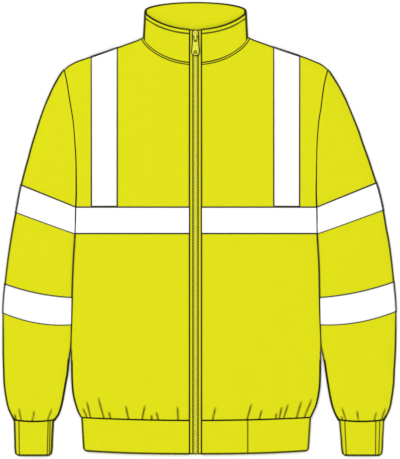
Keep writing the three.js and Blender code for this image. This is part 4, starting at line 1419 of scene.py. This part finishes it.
def cuff_cloth(name):
    lines = CUFF_LINES[name]
    inner_edge = column_curve(lines, "y", "inner")
    outer_edge = column_curve(lines, "y", "outer")
    edge = np.array([0, *EDGE_STEPS])
    levels = np.concatenate([CUFF_TOP_Y - edge[:5], np.linspace(59, 2.4, 26), CUFF_HEM_Y + edge[::-1]])
    fine = edge / CUFF_WIDTH
    front = np.concatenate([fine, np.linspace(0.065, 0.935, 100), 1 - fine[::-1]])
    back = np.concatenate([1 - fine[1:], np.linspace(0.93, 0.07, 24), fine[::-1]])
    share = np.concatenate([front, back])
    is_back = np.concatenate([np.zeros(len(front), bool), np.ones(len(back), bool)])
    y, across = np.meshgrid(levels, share, indexing="ij")
    start = inner_edge(y) - FOLD_SWELL / 2
    width = outer_edge(y) + FOLD_SWELL / 2 - start
    distance = across * width
    x = start + distance
    hidden = np.broadcast_to(is_back, y.shape)
    lift = bulge(np.minimum(distance, width - distance) / FOLD_REACH)
    down = (CUFF_TOP_Y - y) / CUFF_TOP_Y
    seam = CUFF_TOP_Y - y
    hem = y - CUFF_HEM_Y
    y = y + CUFF_SAG * (2 * across - 1) ** 2 * clamp(1 - down) ** 4 * ~hidden
    relief = waves(x * 2, y * 2, seed_for(name, 51), 0.18) * lift
    shade = np.zeros_like(x)
    for crease_top, crease_hem in zip(CUFF_CREASES[name]["top"], CUFF_CREASES[name]["hem"]):
        offset = x - mix(crease_top, crease_hem, down)
        groove = bell(offset, 0.9)
        relief = relief - groove * ~hidden + 0.3 * bell(abs(offset) - 2.4, 1.4) * lift
        shade = np.maximum(shade, 0.92 * np.exp(-((offset / 1.15) ** 4)) * ~hidden)
    roll = seam_dip(seam) + 3.0 * (1 - bulge(hem / HEM_ROUND)) * lift
    top = mix(FOLD_TIP, CROWN_TOP, lift) + relief - roll
    fold = 1 - bulge(np.minimum(distance, width - distance) / FOLD_ROUND)
    under = FOLD_TIP * fold + 1.2 * (1 - bulge(hem / HEM_ROUND)) * (1 - fold)
    outer_z = np.where(hidden, under, top)
    inset = CUFF_THICK + distance * (width - 2 * CUFF_THICK) / width
    inner_top = np.minimum(mix(FOLD_INSIDE, CROWN_TOP - CUFF_THICK, lift), top - 0.5)
    inner_z = np.where(hidden, np.maximum(CUFF_THICK, under + 0.5), inner_top)
    outer = points_at(SIDES[name] * x, y, outer_z)
    inner = points_at(SIDES[name] * (start + inset), y, inner_z)
    shade = np.maximum(shade, seam_shade(seam))
    shade = np.maximum(shade, fold_shade(np.minimum(np.minimum(distance, width - distance), hem)))
    u, _ = surface_lengths(outer)
    piece = wall(f"cuff_{name}_cloth", outer, inner, grain_of(u, y), shade)
    dress(piece, f"cuff_{name}", BAND)


for side_name in SIDES:
    cuff_cloth(side_name)


# Waistband


def band_side(name, y):
    return BAND_HALF[name] + BAND_FLARE * clamp(y / BAND_FLARE_Y) + EDGE_SWELL


def band_corner(y):
    return BAND_CORNER - np.sqrt(BAND_CORNER ** 2 - np.maximum(0, BAND_CORNER - y) ** 2)


def band_levels():
    edge = np.array([0, *EDGE_STEPS])
    return np.concatenate([edge, [5.2, 6.6], np.linspace(8.4, 59, 26), HEM_SEAM_Y - edge[::-1]]) / HEM_SEAM_Y


def band_front(name, piece_name, start, end):
    """One piece of the waistband's front; end is None where it runs to the side."""
    fine = np.array([0, *EDGE_STEPS])
    length = (end if end is not None else BAND_HALF["right"]) - start
    margin = EDGE_MARGIN / length
    across = np.concatenate([fine / length, np.linspace(margin, 1 - margin, 70), 1 - fine[::-1] / length])
    height, u = np.meshgrid(band_levels(), across, indexing="ij")
    level = height * HEM_SEAM_Y
    far = band_side(name, level) - band_corner(level) if end is None else end
    x = mix(start, far, u)
    y = mix(band_hem(x), hem_seam(x) - HALF_SEAM, height)
    lift = bulge((band_side(name, level) - x) / FOLD_REACH)
    swell = waves(x * 1.5, y * 2, seed_for(name, 61), 0.22) * lift * clamp(level / 12)
    hem = y - band_hem(x)
    seam = hem_seam(x) - HALF_SEAM - y
    upright = np.full_like(x, NO_SEAM) if end is None else end - x
    if start > ZIP_OPENING:
        upright = np.minimum(upright, x - start)
    roll = seam_dip(np.minimum(seam, upright)) + 2.2 * (1 - bulge(hem / HEM_ROUND)) * lift
    if start <= ZIP_OPENING:
        roll = roll + 0.7 * (1 - bulge((x - start) / 1.2))
    top = mix(EDGE_TOP, BAND_CROWN, lift) + swell - roll
    under = np.minimum(mix(EDGE_UNDER, CROWN_INSIDE, lift), top - 0.5)
    side = band_side(name, level) - band_corner(level) - x
    shade = darkest(seam_shade(seam), BAND_SEAM_SHADE * seam_shade(upright),
                    fold_shade(np.minimum(side, hem)), seam_shade(x - ZIP_OPENING))
    outer = points_at(SIDES[name] * x, y, top)
    inner = points_at(SIDES[name] * x, y, under)
    piece = wall(piece_name + "_cloth", outer, inner, grain_of(x, y), shade)
    dress(piece, piece_name, BAND)


def band_back():
    height, u = np.meshgrid(band_levels(), np.linspace(-1, 1, 170), indexing="ij")
    level = height * HEM_SEAM_Y
    half = np.where(u < 0, band_side("right", level), band_side("left", level)) - band_corner(level)
    x = u * half
    y = mix(band_hem(x), hem_seam(abs(x)) - HALF_SEAM, height)
    seam = hem_seam(abs(x)) - HALF_SEAM - y
    hem = y - band_hem(x)
    under = 0.8 * seam_dip(np.minimum(seam, half - abs(x))) + 1.2 * (1 - bulge(hem / HEM_ROUND))
    under = under + np.maximum(waves(x * 1.5, y * 2, 63, 0.14), 0) * clamp(level / 12)
    outer = points_at(x, y, under)
    inner = points_at(x, y, np.maximum(BACK_TOP, under + 0.6))
    piece = wall("waistband_back_cloth", outer, inner, grain_of(x, y), seam_shade(seam))
    dress(piece, "waistband_back", BAND)


band_front("right", "waistband_front_right", ZIP_OPENING, None)
band_front("left", "waistband_front_left_inner", ZIP_OPENING, BAND_SEAM_X - HALF_SEAM)
band_front("left", "waistband_front_left_outer", BAND_SEAM_X + HALF_SEAM, None)
band_back()


# Zip


def zip_cloth(name):
    """The woven strip that one side's teeth are moulded on, with its corded edge."""
    across = np.concatenate([[0, 0.15, 0.35, 0.6, 0.9, 1.2, 1.6, 2.0], np.linspace(2.6, 12.4, 24),
                             [12.7, ZIP_CLOTH_WIDTH]])
    ends = np.array([0, 0.8, 1.6, ZIP_END_LINE - LINE_BLUR, ZIP_END_LINE + LINE_BLUR])
    up = np.concatenate([0.1 + ends, np.linspace(4, ZIP_TOP_Y - 4, 240), ZIP_TOP_Y - ends[::-1]])
    y, offset = np.meshgrid(up, across, indexing="ij")
    x = ZIP_CLOTH_INNER + offset
    cord = 0.5 * bell(offset - 0.75, 0.5)
    line = 0.16 * (bell(offset - 3.2, 0.3) + bell(offset - 4.4, 0.3))
    ripple = waves(x * 3, y, seed_for(name, 71), 0.08)
    edge = 0.3 * (1 - bulge(np.minimum(offset, ZIP_CLOTH_WIDTH - offset) / 0.4))
    outer = points_at(SIDES[name] * x, y, ZIP_CLOTH_TOP + cord - line + ripple - edge)
    inner = points_at(SIDES[name] * x, y, ZIP_CLOTH_UNDER)
    # Painted shade: a dark line beside the teeth, a painted shadow under the front's edge and dark lines at
    # both ends
    shadow_under_front = clamp((x - ZIP_OPENING + ZIP_OUTER_LINE) / 0.4)
    shade = clamp(ZIP_LINE_SHADE * (line_shade(offset, ZIP_INNER_LINE) + shadow_under_front))
    shade = darkest(shade, line_shade(np.minimum(y, ZIP_TOP_Y - y), ZIP_END_LINE))
    piece = wall(f"zip_tape_{name}_cloth", outer, inner, grain_of(x, y), shade)
    dress(piece, f"zip_tape_{name}", ZIP_CLOTH)


def bevelled(outline, levels):
    """A solid from a plan outline (a list of (x, y)) and levels of (z, how far it is drawn in)."""
    outline = np.array(outline, dtype=float)
    centre = outline.mean(axis=0)
    rings = []
    for z, inset in levels:
        away = outline - centre
        length = np.linalg.norm(away, axis=1, keepdims=True)
        ring = centre + away * np.maximum(1 - inset / np.maximum(length, 1e-6), 0.05)
        rings.append(np.concatenate([ring, np.full((len(ring), 1), z)], axis=1))
    count = len(outline)
    faces = [tuple(face) for face in grid_faces(len(levels), count, 0, True)]
    faces.append(tuple(range(count - 1, -1, -1)))
    faces.append(tuple((len(levels) - 1) * count + k for k in range(count)))
    return np.concatenate(rings), faces


def joined(parts):
    """Several (points, faces) bodies as one."""
    points = []
    faces = []
    start = 0
    for part_points, part_faces in parts:
        points.append(part_points)
        faces.extend(tuple(index + start for index in face) for face in part_faces)
        start += len(part_points)
    return np.concatenate(points), faces


def zip_chain():
    """Two rows of moulded teeth whose heads lock between each other, one row half a pitch on."""
    upper = [(1.45, 0.4), (1.0, TOOTH_HEAD), (0.1, TOOTH_HEAD), (-0.9, 0.42), (-1.9, TOOTH_NECK),
             (-2.9, TOOTH_NECK), (-3.4, TOOTH_NECK), (-4.0, TOOTH_NECK)]
    outline = [(x, -y) for x, y in reversed(upper)] + upper
    levels = [(CHAIN_UNDER + 0.1, TOOTH_EDGE), (CHAIN_UNDER + 0.35, 0), (CHAIN_TOP - 0.4, 0),
              (CHAIN_TOP - 0.1, TOOTH_EDGE)]
    points, faces = bevelled(outline, levels)
    parts = []
    for k in range(int((CHAIN_END_Y - 1.0) / TOOTH_PITCH)):
        for sign in (-1, 1):
            turned = points * np.array([-sign, -sign, 1.0])
            place = 0.9 + k * TOOTH_PITCH + (0 if sign < 0 else TOOTH_PITCH / 2)
            if place < CHAIN_END_Y - 0.8:
                parts.append((turned + np.array([0, place, 0]), faces))
    end = CHAIN_END_Y - 0.5
    core = [(-CORE_HALF, 0.5), (CORE_HALF, 0.5), (CORE_HALF, end), (-CORE_HALF, end)]
    parts.append(bevelled(core, [(CHAIN_UNDER, 0), (CORE_TOP, 0)]))
    points, faces = joined(parts)
    # Painted shade: the outer ends of the teeth and the teeth at the bottom end go near black
    shade = TOOTH_END_SHADE * clamp((abs(points[:, 0]) - TOOTH_DARK_X) / 0.3)
    shade = darkest(shade, line_shade(points[:, 1], ZIP_END_LINE))
    piece = make_mesh("zip_teeth", points, faces, shade=shade, smooth=False)
    dress(piece, "zip_chain", TEETH)


for side_name in SIDES:
    zip_cloth(side_name)
zip_chain()


# Slider and pull tab


SLIDER_OUTLINE = [
    (-4.3, 783.7), (4.3, 783.7), (5.6, 785.0), (6.1, 787.2), (6.1, 797.9), (5.5, 801.2),
    (4.0, 804.0), (2.4, 805.7), (0.9, 804.6), (0, 804.2), (-0.9, 804.6), (-2.4, 805.7),
    (-4.0, 804.0), (-5.5, 801.2), (-6.1, 797.9), (-6.1, 787.2), (-5.6, 785.0),
]
CROWN_LINE = [
    (784.1, 8.9), (784.5, 10.9), (785.7, 12.8), (787.6, 13.9), (790.0, 14.1), (795.0, 14.1), (797.3, 13.8),
    (799.1, 12.6), (800.0, 10.8), (800.3, 8.9),
]
CROWN_HOLLOW = [
    (786.2, 8.9), (786.4, 10.6), (787.2, 11.9), (788.4, 12.6), (790.4, 12.8), (794.6, 12.8), (796.4, 12.6),
    (797.5, 11.8), (798.2, 10.6), (798.4, 8.9),
]


def crown_body():
    """The arch that the pull tab hangs on."""
    outer = np.array(CROWN_LINE)
    inner = np.array(CROWN_HOLLOW)
    count = len(outer)
    rings = []
    for x, inset in ((-CROWN_HALF, 0.45), (-CROWN_HALF + 0.4, 0), (CROWN_HALF - 0.4, 0), (CROWN_HALF, 0.45)):
        drawn = outer + (inner - outer) * (inset / 2.2)
        rings.append(np.concatenate([np.full((count, 1), x), drawn], axis=1))
    hollow = [np.concatenate([np.full((count, 1), x), inner], axis=1) for x in (CROWN_HALF, -CROWN_HALF)]
    rings.extend(hollow)
    grid = np.stack(rings)
    faces = [tuple(face) for face in grid_faces(len(rings), count)]
    last = (len(rings) - 1) * count
    faces.extend((last + k, last + k + 1, k + 1, k) for k in range(count - 1))
    starts = [ring * count for ring in range(len(rings))]
    ends = [ring * count + count - 1 for ring in range(len(rings))]
    faces.append(tuple(starts))
    faces.append(tuple(reversed(ends)))
    return grid.reshape(-1, 3), faces


def slider_piece():
    top = bevelled(SLIDER_OUTLINE, [(8.5, 0.25), (8.7, 0), (9.1, 0), (9.4, 0.35)])
    under = bevelled(SLIDER_OUTLINE, [(3.75, 0.3), (3.95, 0), (4.5, 0), (4.7, 0.2)])
    wedge_outline = [(-2.0, 785), (2.0, 785), (3.6, 790), (3.6, 799), (1.6, 804), (-1.6, 804), (-3.6, 799),
                     (-3.6, 790)]
    wedge = bevelled(wedge_outline, [(4.5, 0), (8.7, 0)])
    flanges = []
    for sign in (-1, 1):
        rail = [(sign * 5.2, 786.5), (sign * 6.05, 787.5), (sign * 6.05, 797.5), (sign * 5.2, 798.5)]
        flanges.append(bevelled(rail if sign > 0 else rail[::-1], [(7.4, 0.1), (8.7, 0)]))
    points, faces = joined([top, under, wedge, crown_body(), *flanges])
    piece = make_mesh("slider", points, faces)
    return dress(piece, "zip_slider", METAL)


def round_points(x, y, radius, start, end, steps):
    angles = np.linspace(start, end, steps)
    return [(x + radius * math.cos(angle), y + radius * math.sin(angle)) for angle in angles]


TAB_OUTLINE = [
    (4.5, 792.9), (5.3, 792.1), (5.6, 788), (6.2, 780), (7.4, 769),
    *round_points(0, TAB_END_Y + TAB_ROUND, TAB_ROUND, 0.14, -math.pi - 0.14, 30),
    (-7.4, 769), (-6.2, 780), (-5.6, 788), (-5.3, 792.1), (-4.5, 792.9),
]
TAB_SLOT = [
    (2.5, 790.6), (2.3, 790.9), (-2.3, 790.9), (-2.5, 790.6), (-2.5, 783.8), (-1.9, 782.8), (-1.0, 782.4),
    (1.0, 782.4), (1.9, 782.8), (2.5, 783.8),
]
TAB_EYE = round_points(0, TAB_HOLE_Y, TAB_HOLE_RADIUS, 0, 2 * math.pi, 25)[:-1]


def tab_piece():
    """The pull tab: a bevelled tongue with a slot for the crown and a round eye."""
    curve = bpy.data.curves.new("tab_plan", "CURVE")
    curve.dimensions = "2D"
    curve.fill_mode = "BOTH"
    curve.extrude = (TAB_TOP - TAB_UNDER) / 2 - TAB_BEVEL
    curve.bevel_depth = TAB_BEVEL
    curve.bevel_resolution = 3
    curve.offset = -TAB_BEVEL
    for ring in (TAB_OUTLINE, TAB_SLOT, TAB_EYE):
        spline = curve.splines.new("POLY")
        spline.points.add(len(ring) - 1)
        for point, (x, y) in zip(spline.points, ring):
            point.co = (x, y, 0, 1)
        spline.use_cyclic_u = True
    plan = bpy.data.objects.new("tab_plan", curve)
    bpy.context.scene.collection.objects.link(plan)
    bpy.context.view_layer.update()
    mesh = bpy.data.meshes.new_from_object(plan.evaluated_get(bpy.context.evaluated_depsgraph_get()))
    bpy.data.objects.remove(plan)
    bpy.data.curves.remove(curve)
    points = np.empty(len(mesh.vertices) * 3)
    mesh.vertices.foreach_get("co", points)
    points = points.reshape(-1, 3) + np.array([0, 0, (TAB_TOP + TAB_UNDER) / 2])
    faces = [tuple(polygon.vertices) for polygon in mesh.polygons]
    bpy.data.meshes.remove(mesh)
    piece = make_mesh("pull_tab_tongue", points, faces)
    return dress(piece, "zip_pull", METAL, TAB_BODY)


def tube(points, radius, sides=10):
    """A closed loop of round cord through the points."""
    points = np.array(points, dtype=float)
    along = np.roll(points, -1, axis=0) - np.roll(points, 1, axis=0)
    along /= np.linalg.norm(along, axis=1, keepdims=True)
    up = np.array([0.0, 0.0, 1.0])
    side = np.cross(along, up)
    angles = np.linspace(0, 2 * math.pi, sides, endpoint=False)
    rings = points[:, None] + radius * (
        np.cos(angles)[None, :, None] * side[:, None] + np.sin(angles)[None, :, None] * up
    )
    rings = np.concatenate([rings, rings[:1]])
    faces = [tuple(face) for face in grid_faces(len(points) + 1, sides, 0, True)]
    return rings.reshape(-1, 3), faces


def drawn_in(ring, inset):
    """A plan outline moved inwards along its own normals."""
    ring = np.array(ring, dtype=float)
    along = np.roll(ring, -1, axis=0) - np.roll(ring, 1, axis=0)
    along /= np.linalg.norm(along, axis=1, keepdims=True)
    inward = np.stack([along[:, 1], -along[:, 0]], axis=1)
    area = np.sum(ring[:, 0] * np.roll(ring[:, 1], -1) - ring[:, 1] * np.roll(ring[:, 0], -1))
    return ring - inward * inset * np.sign(area)


def painted_edge_shade(name, node, body, loops):
    """Near-black cords laid along the edges as painted shade, where the edges fall into shade: loops are
    (plan outline, how far in, height, radius).
    """
    parts = []
    for ring, inset, z, radius in loops:
        plan = drawn_in(ring, inset)
        parts.append(tube(np.concatenate([plan, np.full((len(plan), 1), z)], axis=1), radius))
    points, faces = joined(parts)
    return dress(make_mesh(name, points, faces), node, EDGE_SHADE_CORD, body)


slider_piece()
tab_piece()
# Painted shade: near-black cords along the slider's and the tab's edges
painted_edge_shade("slider_edge_shade", "zip_slider", BODY, [(SLIDER_OUTLINE, 0.5, 8.9, 0.98)])
painted_edge_shade("pull_tab_edge_shade", "zip_pull", TAB_BODY, [
    (TAB_OUTLINE, 0.6, TAB_TOP - 0.55, 0.98),
    (TAB_SLOT, -0.45, TAB_TOP - 0.5, 0.6),
    (TAB_EYE, -0.75, TAB_TOP - 0.5, 0.72),
])


# Stitches


def stitch_mesh(name, runs, material):
    """Every stitch of the runs: short lengths of thread that dip into the cloth at both ends."""
    profile = np.array([(-1.0, 0.35, -0.5), (-0.55, 1.0, 0.25), (0.55, 1.0, 0.25), (1.0, 0.35, -0.5)])
    corners = np.array([(1, 0), (0, 1), (-1, 0), (0, -1)], dtype=float)
    stitched = []
    for line, normals, pitch in runs:
        steps = np.linalg.norm(np.diff(line, axis=0), axis=1)
        lengths = np.concatenate([[0], np.cumsum(steps)])
        places = np.arange(pitch, lengths[-1] - pitch, pitch)
        if len(places) == 0:
            continue
        centre = np.stack([np.interp(places, lengths, line[:, k]) for k in range(3)], axis=1)
        ahead = np.stack([np.interp(places + 0.5, lengths, line[:, k]) for k in range(3)], axis=1)
        normal = np.stack([np.interp(places, lengths, normals[:, k]) for k in range(3)], axis=1)
        normal /= np.linalg.norm(normal, axis=1, keepdims=True)
        along = ahead - centre
        along /= np.linalg.norm(along, axis=1, keepdims=True)
        side = np.cross(normal, along)
        stitched.append(np.stack([
            centre + along * step * STITCH_LENGTH / 2 + normal * rise * STITCH_RADIUS
            + (side * across + normal * above) * radius * STITCH_RADIUS
            for step, radius, rise in profile
            for across, above in corners
        ], axis=1))
    vertices = np.concatenate(stitched).reshape(-1, 3)
    vertices[:, 2] = np.maximum(vertices[:, 2], STITCH_LOWEST)
    one = [tuple(face) for face in grid_faces(4, 4, 0, True)] + [(3, 2, 1, 0), (12, 13, 14, 15)]
    count = len(vertices) // 16
    faces = [tuple(index + 16 * k for index in face) for k in range(count) for face in one]
    piece = make_mesh(name, vertices, faces)
    piece.data.materials.append(material)
    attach(piece, BODY)


stitch_mesh("cloth_stitches", stitches["cloth"], THREAD)
stitch_mesh("front_tape_stitches", stitches["front"], TAPE_THREAD)
stitch_mesh("back_tape_stitches", stitches["back"], TAPE_THREAD)
stitch_mesh("sleeve_tape_stitches", stitches["sleeve"], TAPE_THREAD)


# Floor, light and camera


def plain_floor():
    half = FLOOR_SIZE / 2
    mesh = bpy.data.meshes.new("floor")
    corners = [(-half, -half, 0), (half, -half, 0), (half, half, 0), (-half, half, 0)]
    mesh.from_pydata(corners, [], [(0, 1, 2, 3)])
    floor = bpy.data.objects.new("floor", mesh)
    bpy.context.scene.collection.objects.link(floor)
    material, _, _, shader = new_material("floor")
    shader.inputs["Base Color"].default_value = FLOOR_WHITE
    shader.inputs["Roughness"].default_value = 0.9
    mesh.materials.append(material)


def soft_light(name, place, size, power):
    light = bpy.data.lights.new(name, "AREA")
    light.shape = "DISK"
    light.size = size
    light.energy = power
    lamp = bpy.data.objects.new(name, light)
    lamp.location = place
    lamp.rotation_euler = (-Vector(place)).to_track_quat("-Z", "Y").to_euler()
    bpy.context.scene.collection.objects.link(lamp)


def camera_above():
    """Looks straight down on the jacket, framed as in the photograph."""
    camera = bpy.data.cameras.new("camera")
    camera.type = "PERSP"
    camera.sensor_fit = "VERTICAL"
    camera.sensor_height = SENSOR
    camera.lens = SENSOR * CAMERA_HEIGHT / (PHOTO_HEIGHT * MM_PER_PIXEL * MM)
    camera.clip_end = 50
    piece = bpy.data.objects.new("camera", camera)
    centre_x = (PHOTO_WIDTH / 2 - PHOTO_ZIP_COLUMN) * MM_PER_PIXEL + ZIP_X
    centre_y = (PHOTO_HEM_ROW - PHOTO_HEIGHT / 2) * MM_PER_PIXEL + HEM_Y
    piece.location = (centre_x * MM, centre_y * MM, CAMERA_HEIGHT)
    bpy.context.scene.collection.objects.link(piece)
    bpy.context.scene.camera = piece


plain_floor()
for lamp_name, (lamp_place, lamp_size, lamp_power) in LAMPS.items():
    soft_light(lamp_name, lamp_place, lamp_size, lamp_power)
world = bpy.data.worlds.new("studio")
world.use_nodes = True
world.node_tree.nodes["Background"].inputs["Color"].default_value = (1, 1, 1, 1)
world.node_tree.nodes["Background"].inputs["Strength"].default_value = SKY_LIGHT
bpy.context.scene.world = world
bpy.context.scene.view_settings.view_transform = "Standard"
camera_above()
